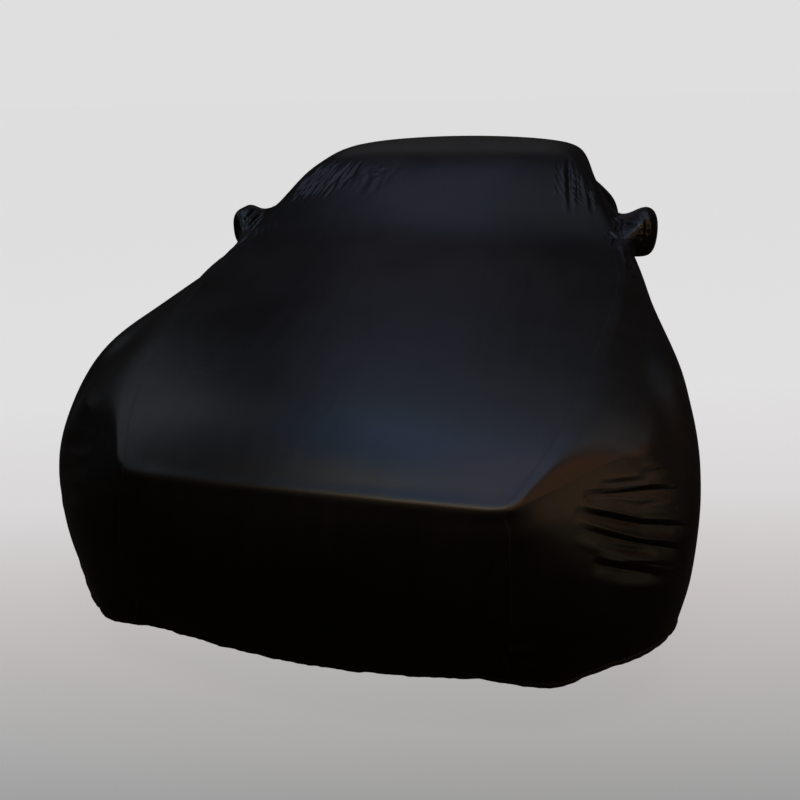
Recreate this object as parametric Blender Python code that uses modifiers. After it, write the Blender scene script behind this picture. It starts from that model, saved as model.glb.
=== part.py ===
"""A stretch-fit car cover, hanging in the shape of the coupe that it is pulled over.

The cover is sewn from five pieces of cloth: a centre panel that runs from the front hem over the
bonnet, windscreen, roof and boot to the rear hem, a side panel on each side, and a pocket on each
side for the door mirror.  The car is not part of the object, so the cover is hollow and open
underneath.

One coarse cage holds the whole form.  Its corners come from the tables below, a row for each place
along the car.  It is subdivided, the main folds are pressed into it, and it is cut along its seams
into the five panels, which are then given the thickness of the cloth.

Axes: +X is the car's left, +Y runs from nose to tail, +Z is up.  The tables measure Y from the
middle of the car and Z from the ground.  The finished cover is moved so that the origin lies under
the cloth of the roof, where the car carries it.
"""

from collections import namedtuple

import bmesh
import bpy
from mathutils import Vector
from mathutils.geometry import intersect_point_line

# ---------------------------------------------------------------- driving sizes, in metres
CLOTH = 0.0025           # thickness of the cloth
SEAM_GAP = 0.0006        # gap between two panels where they are sewn together
LEVELS = 2               # how finely the cage is subdivided
SETTLE_STEPS = 4         # steps in which the smooth form is drawn through the tables' points
ROOF_Y = 0.50            # where along the car the roof carries the cover
WEAVE_COLOUR = (0.012, 0.014, 0.018, 1.0)

# How sharply a line of the cage is creased, from 0 to 1.
SHARP = 0.60
FIRM = 0.48
SOFT = 0.35
FAINT = 0.15

# ---------------------------------------------------------------- the centre panel
# A row for each station from the front hem to the rear hem: the point on the centre line (Y, Z),
# the point on the seam (X, Y, Z), how sharply the cloth bends across the car there, and how sharply
# the seam stands out from there to the next station.
Station = namedtuple("Station", "name mid_y mid_z seam_x seam_y seam_z bend ridge")
STATIONS = [
    Station("front_hem",    -2.193, 0.200, 0.520, -2.137, 0.202, 0, FAINT),
    Station("bumper_low",   -2.215, 0.310, 0.520, -2.160, 0.310, 0, FAINT),
    Station("bumper_high",  -2.215, 0.460, 0.515, -2.160, 0.460, 0, FAINT),
    Station("nose",         -2.185, 0.600, 0.505, -2.140, 0.600, 0, SOFT),
    Station("bonnet_edge",  -2.130, 0.700, 0.492, -2.108, 0.697, SHARP, FIRM),
    Station("bonnet_nose",  -1.965, 0.785, 0.563, -1.950, 0.757, 0, FIRM),
    Station("bonnet_front", -1.750, 0.838, 0.628, -1.745, 0.803, 0, FIRM),
    Station("wing",         -1.510, 0.880, 0.685, -1.510, 0.845, 0, FIRM),
    Station("bonnet_mid",   -1.220, 0.924, 0.742, -1.220, 0.888, 0, FIRM),
    Station("bonnet_rear",  -0.900, 0.972, 0.785, -0.900, 0.926, 0, FIRM),
    Station("mirror_front", -0.590, 1.032, 0.768, -0.590, 0.968, 0, FIRM),
    Station("mirror_rear",  -0.230, 1.165, 0.672, -0.230, 1.122, 0, SOFT),
    Station("header",        0.080, 1.256, 0.590,  0.100, 1.242, FAINT, FAINT),
    Station("roof",          0.500, 1.292, 0.580,  0.500, 1.258, 0, FAINT),
    Station("roof_rear",     0.950, 1.262, 0.575,  0.930, 1.220, 0, FAINT),
    Station("backlight",     1.400, 1.145, 0.600,  1.380, 1.100, 0, FAINT),
    Station("boot",          1.800, 1.030, 0.620,  1.770, 0.995, 0, FAINT),
    Station("boot_edge",     2.130, 0.960, 0.550,  2.080, 0.930, SOFT, FAINT),
    Station("tail_top",      2.180, 0.800, 0.550,  2.120, 0.790, 0, FAINT),
    Station("tail_high",     2.200, 0.580, 0.550,  2.140, 0.580, 0, FAINT),
    Station("tail_low",      2.190, 0.340, 0.550,  2.130, 0.340, 0, FAINT),
    Station("rear_hem",      2.120, 0.200, 0.540,  2.060, 0.200, 0, 0),
]
FRONT_CORNER = 4         # index of the station at the bonnet's corner
REAR_CORNER = 17         # index of the station at the boot lid's corner

# ---------------------------------------------------------------- the side panels
# A row for each station between the two corners, with the points (X, Y, Z) of the lines that run
# along the car below the seam, and how sharply the crest stands out from there to the next station.
Side = namedtuple("Side", "upper crest haunch flank sill hem ridge")
SIDES = {
    "bonnet_nose": Side((0.630, -1.935, 0.750), (0.700, -1.910, 0.720), (0.725, -1.982, 0.635),
                        (0.748, -2.043, 0.500), (0.748, -2.063, 0.330), (0.690, -2.083, 0.195), FIRM),
    "bonnet_front": Side((0.725, -1.770, 0.782), (0.822, -1.800, 0.733), (0.918, -1.845, 0.565),
                         (0.933, -1.872, 0.430), (0.928, -1.890, 0.310), (0.895, -1.930, 0.200), FIRM),
    "wing": Side((0.765, -1.520, 0.828), (0.842, -1.550, 0.796), (0.950, -1.580, 0.740),
                 (0.995, -1.600, 0.530), (0.998, -1.610, 0.340), (0.960, -1.660, 0.200), SOFT),
    "bonnet_mid": Side((0.800, -1.235, 0.868), (0.856, -1.240, 0.842), (0.950, -1.240, 0.780),
                       (0.990, -1.240, 0.555), (0.985, -1.240, 0.335), (0.930, -1.250, 0.190), SOFT),
    "bonnet_rear": Side((0.826, -0.900, 0.905), (0.866, -0.905, 0.872), (0.925, -0.910, 0.802),
                        (0.965, -0.920, 0.560), (0.960, -0.920, 0.330), (0.900, -0.920, 0.190), SOFT),
    "mirror_front": Side((0.818, -0.580, 0.972), (0.872, -0.575, 0.880), (0.925, -0.560, 0.802),
                         (0.950, -0.540, 0.560), (0.945, -0.540, 0.330), (0.890, -0.540, 0.190), FAINT),
    "mirror_rear": Side((0.785, -0.205, 1.060), (0.868, -0.205, 0.885), (0.918, -0.200, 0.805),
                        (0.940, -0.200, 0.560), (0.940, -0.200, 0.330), (0.885, -0.200, 0.190), FAINT),
    "header": Side((0.730, 0.120, 1.105), (0.855, 0.140, 0.900), (0.915, 0.140, 0.810),
                   (0.940, 0.140, 0.560), (0.940, 0.140, 0.330), (0.885, 0.140, 0.190), FAINT),
    "roof": Side((0.715, 0.500, 1.125), (0.860, 0.500, 0.895), (0.920, 0.500, 0.810),
                 (0.945, 0.500, 0.560), (0.945, 0.500, 0.330), (0.890, 0.500, 0.190), FAINT),
    "roof_rear": Side((0.705, 0.940, 1.080), (0.870, 0.950, 0.880), (0.940, 0.950, 0.800),
                      (0.970, 0.950, 0.570), (0.970, 0.950, 0.340), (0.915, 0.950, 0.190), FAINT),
    "backlight": Side((0.715, 1.380, 0.990), (0.855, 1.390, 0.870), (0.950, 1.400, 0.790),
                      (0.985, 1.400, 0.570), (0.985, 1.400, 0.340), (0.930, 1.400, 0.190), FAINT),
    "boot": Side((0.700, 1.780, 0.968), (0.780, 1.790, 0.925), (0.860, 1.810, 0.790),
                 (0.895, 1.850, 0.580), (0.895, 1.850, 0.350), (0.845, 1.820, 0.200), FAINT),
}
LINES = ("seam", "upper", "crest", "haunch", "flank", "sill", "hem")

# The end columns of a side panel are the upright stretches of the seam: the station of each line.
UPRIGHT = {
    FRONT_CORNER: {"upper": 4, "crest": 4, "haunch": 3, "flank": 2, "sill": 1, "hem": 0},
    REAR_CORNER: {"upper": 17, "crest": 17, "haunch": 18, "flank": 19, "sill": 20, "hem": 21},
}

# ---------------------------------------------------------------- the mirror pockets
# The pocket is sewn round a hole between these stations and lines.  A row for each ring of the
# pocket's cage, from the mouth outwards: its middle (X, Y, Z) and its half sizes along the car and
# upwards.
POCKET_STATIONS = ("mirror_front", "mirror_rear")
POCKET_LINES = ("upper", "crest")
Ring = namedtuple("Ring", "x y z half_long half_high")
POCKET_RINGS = [
    Ring(0.878, -0.385, 0.980, 0.125, 0.106),
    Ring(0.925, -0.375, 0.984, 0.118, 0.116),
    Ring(0.972, -0.365, 0.972, 0.084, 0.080),
]

# ---------------------------------------------------------------- the main folds
# A trough pressed into the cloth from a start to an end point (X, Y, Z): its half width and depth.
Fold = namedtuple("Fold", "start end half_width depth")
FOLDS = [
    # Stretched folds at the left front corner, which run from the bonnet's corner to the wheel.
    Fold((0.80, -1.890, 0.702), (0.90, -1.820, 0.695), 0.024, 0.006),
    Fold((0.66, -1.985, 0.684), (0.94, -1.825, 0.643), 0.030, 0.016),
    Fold((0.67, -1.990, 0.662), (0.90, -1.870, 0.615), 0.022, 0.006),
    Fold((0.63, -2.025, 0.663), (0.96, -1.860, 0.549), 0.032, 0.018),
    Fold((0.64, -2.045, 0.632), (0.94, -1.900, 0.498), 0.032, 0.018),
    Fold((0.70, -2.035, 0.575), (0.86, -1.950, 0.515), 0.022, 0.005),
    Fold((0.68, -2.065, 0.553), (0.92, -1.940, 0.440), 0.032, 0.014),
    # Folds that fan out over the windscreen from the right corner of the roof.
    Fold((-0.645, -0.37, 1.070), (-0.600, 0.03, 1.228), 0.026, 0.010),
    Fold((-0.585, -0.37, 1.080), (-0.548, 0.00, 1.223), 0.026, 0.011),
    Fold((-0.550, -0.30, 1.112), (-0.480, 0.00, 1.228), 0.028, 0.010),
    Fold((-0.418, -0.28, 1.135), (-0.398, -0.03, 1.222), 0.026, 0.007),
    Fold((-0.350, -0.32, 1.120), (-0.333, -0.09, 1.205), 0.026, 0.007),
    Fold((-0.286, -0.34, 1.115), (-0.276, -0.05, 1.218), 0.026, 0.007),
    # Folds that hang down the windscreen and its pillar from the left corner of the roof.
    Fold((0.583, 0.04, 1.226), (0.610, -0.40, 1.063), 0.028, 0.013),
    Fold((0.618, 0.08, 1.228), (0.650, -0.28, 1.105), 0.024, 0.009),
    Fold((0.680, -0.10, 1.160), (0.697, -0.38, 1.058), 0.024, 0.007),
]

# Where the car pushes the cloth out or the elastic of the hem draws it in, and the two sides differ: a
# point (X, Y, Z), how far round it the cloth follows, and how it moves there.
Pull = namedtuple("Pull", "centre radius move")
PULLS = [
    Pull((0.95, -1.82, 0.68), 0.35, (0.014, -0.008, 0.005)),
    Pull((0.96, -1.85, 0.25), 0.40, (0.016, -0.010, 0.000)),
    Pull((0.62, -2.13, 0.18), 0.18, (0.000, -0.008, -0.020)),
    Pull((-0.93, -1.86, 0.22), 0.40, (0.012, 0.010, 0.000)),
    Pull((-0.65, -2.12, 0.18), 0.22, (-0.010, -0.015, -0.020)),
    Pull((-0.95, -0.37, 0.98), 0.18, (0.034, 0.010, -0.016)),
]

# Boxes within which the cloth is divided more finely across its folds: two corners (X, Y, Z), the axis
# that the folds run across, and the cuts in each edge.
Zone = namedtuple("Zone", "low high axis cuts")
ZONES = [
    Zone((0.64, -2.08, 0.42), (0.94, -1.80, 0.72), 2, 3),
    Zone((-0.70, -0.38, 1.05), (-0.16, 0.04, 1.24), 0, 7),
    Zone((0.50, -0.38, 1.05), (0.68, 0.04, 1.24), 0, 5),
]

PANELS = ["centre_panel", "side_panel_left", "side_panel_right", "mirror_pocket_left",
          "mirror_pocket_right"]


# ---------------------------------------------------------------- the cage
def station_indices():
    return {station.name: index for index, station in enumerate(STATIONS)}


def cage_corners(bm):
    """Adds the corners of the cage.  A key is (side, station, line), where the side is 1 for the
    left and -1 for the right, and the line is "mid" or one of LINES."""
    corners = {}
    for index, row in enumerate(STATIONS):
        middle = bm.verts.new((0.0, row.mid_y, row.mid_z))
        for side in (1, -1):
            corners[side, index, "mid"] = middle
            corners[side, index, "seam"] = bm.verts.new((side * row.seam_x, row.seam_y, row.seam_z))
    indices = station_indices()
    for name, row in SIDES.items():
        for line in LINES[1:]:
            x, y, z = getattr(row, line)
            for side in (1, -1):
                corners[side, indices[name], line] = bm.verts.new((side * x, y, z))
    for column, lines in UPRIGHT.items():
        for line, index in lines.items():
            for side in (1, -1):
                corners[side, column, line] = corners[side, index, "seam"]
    return corners


def add_face(bm, corners, side, panel):
    """Adds a face of the cage with its normal outwards, and marks it with its panel."""
    ring = list(dict.fromkeys(corners))
    face = bm.faces.new(ring if side > 0 else ring[::-1])
    face.material_index = PANELS.index(panel)
    return face


def add_centre(bm, corners, side):
    for index in range(len(STATIONS) - 1):
        add_face(bm, [corners[side, index, "mid"], corners[side, index, "seam"],
                      corners[side, index + 1, "seam"], corners[side, index + 1, "mid"]],
                 side, "centre_panel")


def add_side(bm, corners, side, panel):
    indices = station_indices()
    hole = (indices[POCKET_STATIONS[0]], POCKET_LINES)
    for index in range(FRONT_CORNER, REAR_CORNER):
        for upper, lower in zip(LINES, LINES[1:]):
            if (index, (upper, lower)) == hole:
                continue
            add_face(bm, [corners[side, index, lower], corners[side, index + 1, lower],
                          corners[side, index + 1, upper], corners[side, index, upper]],
                     side, panel)


def add_pocket(bm, corners, side, panel):
    """Adds a pocket, and marks its corners as loose: the cloth stays within them as a rounded bag."""
    loose = bm.verts.layers.int["loose"]
    front, rear = (station_indices()[name] for name in POCKET_STATIONS)
    upper, lower = POCKET_LINES
    ring = [corners[side, front, lower], corners[side, rear, lower],
            corners[side, rear, upper], corners[side, front, upper]]
    for vert in ring:
        vert[loose] = 1
    for row in POCKET_RINGS:
        outer = []
        for along, up in ((-1, -1), (1, -1), (1, 1), (-1, 1)):
            outer.append(bm.verts.new((side * row.x, row.y + along * row.half_long,
                                       row.z + up * row.half_high)))
            outer[-1][loose] = 1
        for i in range(4):
            j = (i + 1) % 4
            add_face(bm, [ring[i], ring[j], outer[j], outer[i]], side, panel)
        ring = outer
    add_face(bm, ring, side, panel)


def crease_lines(bm, corners):
    """Creases the edges of the cage that stand out as ridges in the cloth."""
    layer = bm.edges.layers.float.new("crease_edge")

    def crease(first, second, amount):
        edge = bm.edges.get((first, second))
        if edge is not None and amount:
            edge[layer] = max(edge[layer], amount)

    indices = station_indices()
    names = [row.name for row in STATIONS]
    for side in (1, -1):
        for index, row in enumerate(STATIONS):
            crease(corners[side, index, "mid"], corners[side, index, "seam"], row.bend)
            if index + 1 < len(STATIONS):
                crease(corners[side, index, "seam"], corners[side, index + 1, "seam"], row.ridge)
        first = corners[side, FRONT_CORNER, "seam"]
        crease(first, corners[side, FRONT_CORNER + 1, "crest"], FIRM)
        for name, row in SIDES.items():
            index = indices[name]
            if names[index + 1] in SIDES:
                crease(corners[side, index, "crest"], corners[side, index + 1, "crest"], row.ridge)


def build_cage():
    bm = bmesh.new()
    bm.verts.layers.int.new("loose")
    corners = cage_corners(bm)
    for side, word in ((1, "left"), (-1, "right")):
        add_centre(bm, corners, side)
        add_side(bm, corners, side, "side_panel_" + word)
        add_pocket(bm, corners, side, "mirror_pocket_" + word)
    crease_lines(bm, corners)
    return bm


# ---------------------------------------------------------------- from the cage to the cloth
def subdivided(bm):
    """Returns the cage subdivided into a smooth form, whose first corners are those of the cage."""
    mesh = bpy.data.meshes.new("cage")
    for panel in PANELS:
        mesh.materials.append(None)
    bm.to_mesh(mesh)
    cage = bpy.data.objects.new("cage", mesh)
    bpy.context.scene.collection.objects.link(cage)
    smooth = cage.modifiers.new("smooth", "SUBSURF")
    smooth.levels = LEVELS
    smooth.render_levels = LEVELS
    cover = bmesh.new()
    cover.from_object(cage, bpy.context.evaluated_depsgraph_get())
    bpy.data.objects.remove(cage)
    return cover


def drawn_through(bm):
    """Returns the smooth form that passes through the points of the tables: subdividing draws it in
    from the corners of the cage, so these are moved out by what it misses them by, in a few steps.
    Loose corners stay where they are."""
    bm.verts.index_update()
    loose = bm.verts.layers.int["loose"]
    wanted = {vert: vert.co.copy() for vert in bm.verts if not vert[loose]}
    for step in range(SETTLE_STEPS):
        cover = subdivided(bm)
        cover.verts.ensure_lookup_table()
        for vert, point in wanted.items():
            vert.co += point - cover.verts[vert.index].co
        cover.free()
    return subdivided(bm)


def refine(bm, zone):
    """Divides the cloth within a zone by cutting its edges that run along the zone's axis."""
    edges = []
    for edge in bm.edges:
        middle = (edge.verts[0].co + edge.verts[1].co) / 2.0
        if all(low <= value <= high for low, value, high in zip(zone.low, middle, zone.high)):
            run = [abs(value) for value in edge.verts[1].co - edge.verts[0].co]
            if run[zone.axis] == max(run):
                edges.append(edge)
    bmesh.ops.subdivide_edges(bm, edges=edges, cuts=zone.cuts, use_grid_fill=True)
    fans = [face for face in bm.faces if len(face.verts) > 4]
    bmesh.ops.triangulate(bm, faces=fans)


def press_fold(bm, fold):
    """Presses one fold into the cloth, deepest half way along it and fading to its edges."""
    start, end = Vector(fold.start), Vector(fold.end)
    moves = []
    for vert in bm.verts:
        nearest, along = intersect_point_line(vert.co, start, end)
        if not 0.0 < along < 1.0:
            continue
        across = (vert.co - nearest).length / fold.half_width
        if across < 1.0:
            shape = (1.0 - across ** 2) ** 2 * 4.0 * along * (1.0 - along)
            moves.append((vert, -fold.depth * shape * vert.normal))
    for vert, move in moves:
        vert.co += move


def pull(bm, row):
    """Moves the cloth round a point, fading to nothing at the radius."""
    centre = Vector(row.centre)
    for vert in bm.verts:
        away = (vert.co - centre).length / row.radius
        if away < 1.0:
            vert.co += Vector(row.move) * (1.0 - away ** 2) ** 2


def whole_cover():
    cover = drawn_through(build_cage())
    for row in PULLS:
        pull(cover, row)
    for zone in ZONES:
        refine(cover, zone)
    for fold in FOLDS:
        cover.normal_update()
        press_fold(cover, fold)
    cover.normal_update()
    return cover


# ---------------------------------------------------------------- cutting out the panels
def panel_normal(vert, panel):
    total = Vector()
    for face in vert.link_faces:
        if face.material_index == panel:
            total += face.normal * face.calc_area()
    return total.normalized()


def seam_setbacks(cover):
    """For each panel, how far a corner on its seams is set back, and along which direction, so that
    the cloth of neighbouring panels stays a gap apart through its whole thickness."""
    setbacks = [{} for panel in PANELS]
    for vert in cover.verts:
        panels = {face.material_index for face in vert.link_faces}
        if len(panels) < 2:
            continue
        normals = {panel: panel_normal(vert, panel) for panel in panels}
        widest = max(normals[a].angle(normals[b]) for a in panels for b in panels)
        setback = SEAM_GAP / 2.0 + CLOTH * widest / 2.0
        for panel in panels:
            inwards = Vector()
            for edge in vert.link_edges:
                owners = [face.material_index for face in edge.link_faces]
                if panel in owners and any(owner != panel for owner in owners):
                    face = next(face for face in edge.link_faces if face.material_index == panel)
                    middle = (edge.verts[0].co + edge.verts[1].co) / 2.0
                    tangent = (edge.verts[1].co - edge.verts[0].co).normalized()
                    towards = face.calc_center_median() - middle
                    towards -= tangent * towards.dot(tangent)
                    inwards += towards.normalized()
            setbacks[panel][vert.index] = inwards.normalized() * setback
    return setbacks


def cut_panel(cover, panel, setbacks):
    """Returns a copy of the cover with only one panel left, its seam edges set back."""
    piece = cover.copy()
    piece.verts.ensure_lookup_table()
    for index, move in setbacks.items():
        piece.verts[index].co += move
    others = [face for face in piece.faces if face.material_index != panel]
    bmesh.ops.delete(piece, geom=others, context="FACES")
    for face in piece.faces:
        face.material_index = 0
        face.smooth = True
    return piece


def cloth_material(name):
    material = bpy.data.materials.new(name)
    material.use_nodes = True
    shader = material.node_tree.nodes["Principled BSDF"]
    shader.inputs["Base Color"].default_value = WEAVE_COLOUR
    shader.inputs["Roughness"].default_value = 0.5
    return material


def roof_underside(cover):
    """The point on the centre line under the cloth of the roof, where the car carries it."""
    middle = [vert for vert in cover.verts if abs(vert.co.x) < 1e-4 and vert.co.z > 1.2]
    vert = min(middle, key=lambda vert: abs(vert.co.y - ROOF_Y))
    return vert.co - vert.normal * CLOTH


def main():
    for item in list(bpy.data.objects):
        bpy.data.objects.remove(item)
    collection = bpy.data.collections.new("car_cover")
    bpy.context.scene.collection.children.link(collection)
    cover = whole_cover()
    cover.verts.index_update()
    setbacks = seam_setbacks(cover)
    origin = roof_underside(cover)
    for panel, name in enumerate(PANELS):
        piece = cut_panel(cover, panel, setbacks[panel])
        bmesh.ops.translate(piece, verts=piece.verts, vec=-origin)
        mesh = bpy.data.meshes.new(name)
        piece.to_mesh(mesh)
        mesh.materials.append(cloth_material(name + "_cloth"))
        cloth = bpy.data.objects.new(name, mesh)
        collection.objects.link(cloth)
        thickness = cloth.modifiers.new("cloth", "SOLIDIFY")
        thickness.thickness = CLOTH
        thickness.offset = -1.0
        thickness.use_even_offset = True


main()
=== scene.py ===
# %% [markdown]
# # Dressing a stretch-fit car cover
#
# The cover is a bag of black satin knit, sewn from a long centre panel, two side panels and two
# pockets for the door mirrors.  Elastic in its hem pulls it tight over a low coupe.  The packed
# model already holds its solids.  This lesson gives each of them a finer sheet of cloth with its
# creases, seams, stitches and gathers, and then a material, a floor, lights and a camera.

import math
import random
from collections import namedtuple

import bmesh
import bpy
import numpy as np
from mathutils import Matrix, Vector
from mathutils.kdtree import KDTree


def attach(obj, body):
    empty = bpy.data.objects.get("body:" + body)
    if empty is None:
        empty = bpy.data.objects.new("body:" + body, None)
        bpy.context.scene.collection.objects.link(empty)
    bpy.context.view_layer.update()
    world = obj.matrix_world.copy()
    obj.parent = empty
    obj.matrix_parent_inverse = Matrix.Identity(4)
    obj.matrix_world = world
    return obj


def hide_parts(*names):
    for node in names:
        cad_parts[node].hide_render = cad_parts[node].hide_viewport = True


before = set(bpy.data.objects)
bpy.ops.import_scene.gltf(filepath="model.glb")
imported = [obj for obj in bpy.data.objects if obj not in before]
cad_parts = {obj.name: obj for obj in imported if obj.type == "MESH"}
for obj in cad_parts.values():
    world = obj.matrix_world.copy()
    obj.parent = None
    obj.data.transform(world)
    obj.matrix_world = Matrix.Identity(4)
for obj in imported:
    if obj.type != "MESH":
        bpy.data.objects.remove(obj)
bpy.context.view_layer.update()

# %% [markdown]
# ## The shape of the cloth
#
# A sewn cover is smooth between its seams, so it could be drawn with curves, sculpted, or let fall
# over a model by simulation.  Here it is a coarse cage of a few hundred faces that subdivision
# rounds off.  Each row of the first table is a station along the car: the height of the middle
# line, the place of the seam, and how sharply the cloth bends there.  These are the same numbers
# as the solids have, so the fine cloth lies where they do.

# %% Stations of the centre panel
CLOTH = 0.0020           # thickness of the cloth, in metres
ORIGIN = (0.0, 0.49941, 1.28875)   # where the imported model's origin lies in the tables
SETTLE_STEPS, SETTLE_LEVELS = 4, 2       # how often the cage is corrected, and how finely it's read
SHARP, FIRM, SOFT, FAINT = 0.60, 0.48, 0.35, 0.15

Station = namedtuple("Station", "name mid_y mid_z seam_x seam_y seam_z bend ridge rows")
STATIONS = [
    Station("front_hem",    -2.193, 0.200, 0.520, -2.137, 0.202, 0, FAINT, 10),
    Station("bumper_low",   -2.215, 0.310, 0.520, -2.160, 0.310, 0, FAINT, 10),
    Station("bumper_high",  -2.215, 0.460, 0.515, -2.160, 0.460, 0, FAINT, 10),
    Station("nose",         -2.185, 0.600, 0.505, -2.140, 0.600, 0, SOFT, 10),
    Station("bonnet_edge",  -2.130, 0.700, 0.492, -2.108, 0.697, SHARP, FIRM, 16),
    Station("bonnet_nose",  -1.965, 0.785, 0.563, -1.950, 0.757, 0, FIRM, 14),
    Station("bonnet_front", -1.750, 0.838, 0.628, -1.745, 0.803, 0, FIRM, 14),
    Station("wing",         -1.510, 0.880, 0.685, -1.510, 0.845, 0, FIRM, 16),
    Station("bonnet_mid",   -1.220, 0.924, 0.742, -1.220, 0.888, 0, FIRM, 16),
    Station("bonnet_rear",  -0.900, 0.972, 0.785, -0.900, 0.926, 0, FIRM, 16),
    Station("mirror_front", -0.590, 1.032, 0.768, -0.590, 0.968, 0, FIRM, 32),
    Station("mirror_rear",  -0.230, 1.165, 0.672, -0.230, 1.122, 0, SOFT, 43),
    Station("header",        0.080, 1.256, 0.590,  0.100, 1.242, FAINT, FAINT, 20),
    Station("roof",          0.500, 1.292, 0.580,  0.500, 1.258, 0, FAINT, 14),
    Station("roof_rear",     0.950, 1.262, 0.575,  0.930, 1.220, 0, FAINT, 14),
    Station("backlight",     1.400, 1.145, 0.600,  1.380, 1.100, 0, FAINT, 12),
    Station("boot",          1.800, 1.030, 0.620,  1.770, 0.995, 0, FAINT, 12),
    Station("boot_edge",     2.130, 0.960, 0.550,  2.080, 0.930, SOFT, FAINT, 8),
    Station("tail_top",      2.180, 0.800, 0.550,  2.120, 0.790, 0, FAINT, 8),
    Station("tail_high",     2.200, 0.580, 0.550,  2.140, 0.580, 0, FAINT, 8),
    Station("tail_low",      2.190, 0.340, 0.550,  2.130, 0.340, 0, FAINT, 8),
    Station("rear_hem",      2.120, 0.200, 0.540,  2.060, 0.200, 0, 0, 0),
]
NUMBER = {station.name: index for index, station in enumerate(STATIONS)}
FRONT_CORNER, REAR_CORNER = NUMBER["bonnet_edge"], NUMBER["boot_edge"]
print("stations:", len(STATIONS), "rows of the centre panel:", sum(s.rows for s in STATIONS))

# %% Lines of the side panels
Side = namedtuple("Side", "upper crest haunch flank sill hem ridge")
SIDES = {
    "bonnet_nose": Side((0.630, -1.935, 0.750), (0.700, -1.910, 0.720), (0.725, -1.982, 0.635),
                        (0.748, -2.043, 0.500), (0.748, -2.063, 0.330), (0.690, -2.083, 0.195), FIRM),
    "bonnet_front": Side((0.725, -1.770, 0.782), (0.822, -1.800, 0.733), (0.918, -1.845, 0.565),
                         (0.933, -1.872, 0.430), (0.928, -1.890, 0.310), (0.895, -1.930, 0.200), FIRM),
    "wing": Side((0.765, -1.520, 0.828), (0.842, -1.550, 0.796), (0.950, -1.580, 0.740),
                 (0.995, -1.600, 0.530), (0.998, -1.610, 0.340), (0.960, -1.660, 0.200), SOFT),
    "bonnet_mid": Side((0.800, -1.235, 0.868), (0.856, -1.240, 0.842), (0.950, -1.240, 0.780),
                       (0.990, -1.240, 0.555), (0.985, -1.240, 0.335), (0.930, -1.250, 0.190), SOFT),
    "bonnet_rear": Side((0.826, -0.900, 0.905), (0.866, -0.905, 0.872), (0.925, -0.910, 0.802),
                        (0.965, -0.920, 0.560), (0.960, -0.920, 0.330), (0.900, -0.920, 0.190), SOFT),
    "mirror_front": Side((0.818, -0.580, 0.972), (0.872, -0.575, 0.880), (0.925, -0.560, 0.802),
                         (0.950, -0.540, 0.560), (0.945, -0.540, 0.330), (0.890, -0.540, 0.190), FAINT),
    "mirror_rear": Side((0.785, -0.205, 1.060), (0.868, -0.205, 0.885), (0.918, -0.200, 0.805),
                        (0.940, -0.200, 0.560), (0.940, -0.200, 0.330), (0.885, -0.200, 0.190), FAINT),
    "header": Side((0.730, 0.120, 1.105), (0.855, 0.140, 0.900), (0.915, 0.140, 0.810),
                   (0.940, 0.140, 0.560), (0.940, 0.140, 0.330), (0.885, 0.140, 0.190), FAINT),
    "roof": Side((0.715, 0.500, 1.125), (0.860, 0.500, 0.895), (0.920, 0.500, 0.810),
                 (0.945, 0.500, 0.560), (0.945, 0.500, 0.330), (0.890, 0.500, 0.190), FAINT),
    "roof_rear": Side((0.705, 0.940, 1.080), (0.870, 0.950, 0.880), (0.940, 0.950, 0.800),
                      (0.970, 0.950, 0.570), (0.970, 0.950, 0.340), (0.915, 0.950, 0.190), FAINT),
    "backlight": Side((0.715, 1.380, 0.990), (0.855, 1.390, 0.870), (0.950, 1.400, 0.790),
                      (0.985, 1.400, 0.570), (0.985, 1.400, 0.340), (0.930, 1.400, 0.190), FAINT),
    "boot": Side((0.700, 1.780, 0.968), (0.780, 1.790, 0.925), (0.860, 1.810, 0.790),
                 (0.895, 1.850, 0.580), (0.895, 1.850, 0.350), (0.845, 1.820, 0.200), FAINT),
}
LINES = ("seam", "upper", "crest", "haunch", "flank", "sill", "hem")
UPRIGHT = {
    FRONT_CORNER: {"upper": 4, "crest": 4, "haunch": 3, "flank": 2, "sill": 1, "hem": 0},
    REAR_CORNER: {"upper": 17, "crest": 17, "haunch": 18, "flank": 19, "sill": 20, "hem": 21},
}
POCKET_STATIONS = ("mirror_front", "mirror_rear")
POCKET_LINES = ("upper", "crest")
Ring = namedtuple("Ring", "x y z half_long half_high")
POCKET_RINGS = [
    Ring(0.878, -0.385, 0.980, 0.125, 0.106),
    Ring(0.925, -0.375, 0.984, 0.118, 0.116),
    Ring(0.972, -0.365, 0.972, 0.084, 0.080),
]
PANELS = ["centre_panel", "side_panel_left", "side_panel_right", "mirror_pocket_left",
          "mirror_pocket_right"]
print("rows of the side panels:", len(SIDES), "rings of a pocket:", len(POCKET_RINGS))

# %% [markdown]
# ## The cage
#
# Each face of the cage is marked with its panel, and each of its corners with a place on a grid.
# Subdivision carries those marks along, so afterwards any point of a face can be found by its
# number, and a panel can be drawn with as many rows and columns as its folds need.

# %% Faces of the cage
def add_face(cage, corners, places, side, panel):
    """Adds a face with its normal outwards.  A place is (across, along) on the face's own grid."""
    grid = cage.loops.layers.uv["grid"]
    place_of = dict(zip(corners, places))
    ring = list(dict.fromkeys(corners))
    face = cage.faces.new(ring if side > 0 else ring[::-1])
    face.material_index = PANELS.index(panel)
    number = len(cage.faces) - 1
    for loop in face.loops:
        across, along = place_of[loop.vert]
        loop[grid].uv = (2.0 * number + across, along)
    return number


SQUARE = [(0, 0), (1, 0), (1, 1), (0, 1)]


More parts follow.
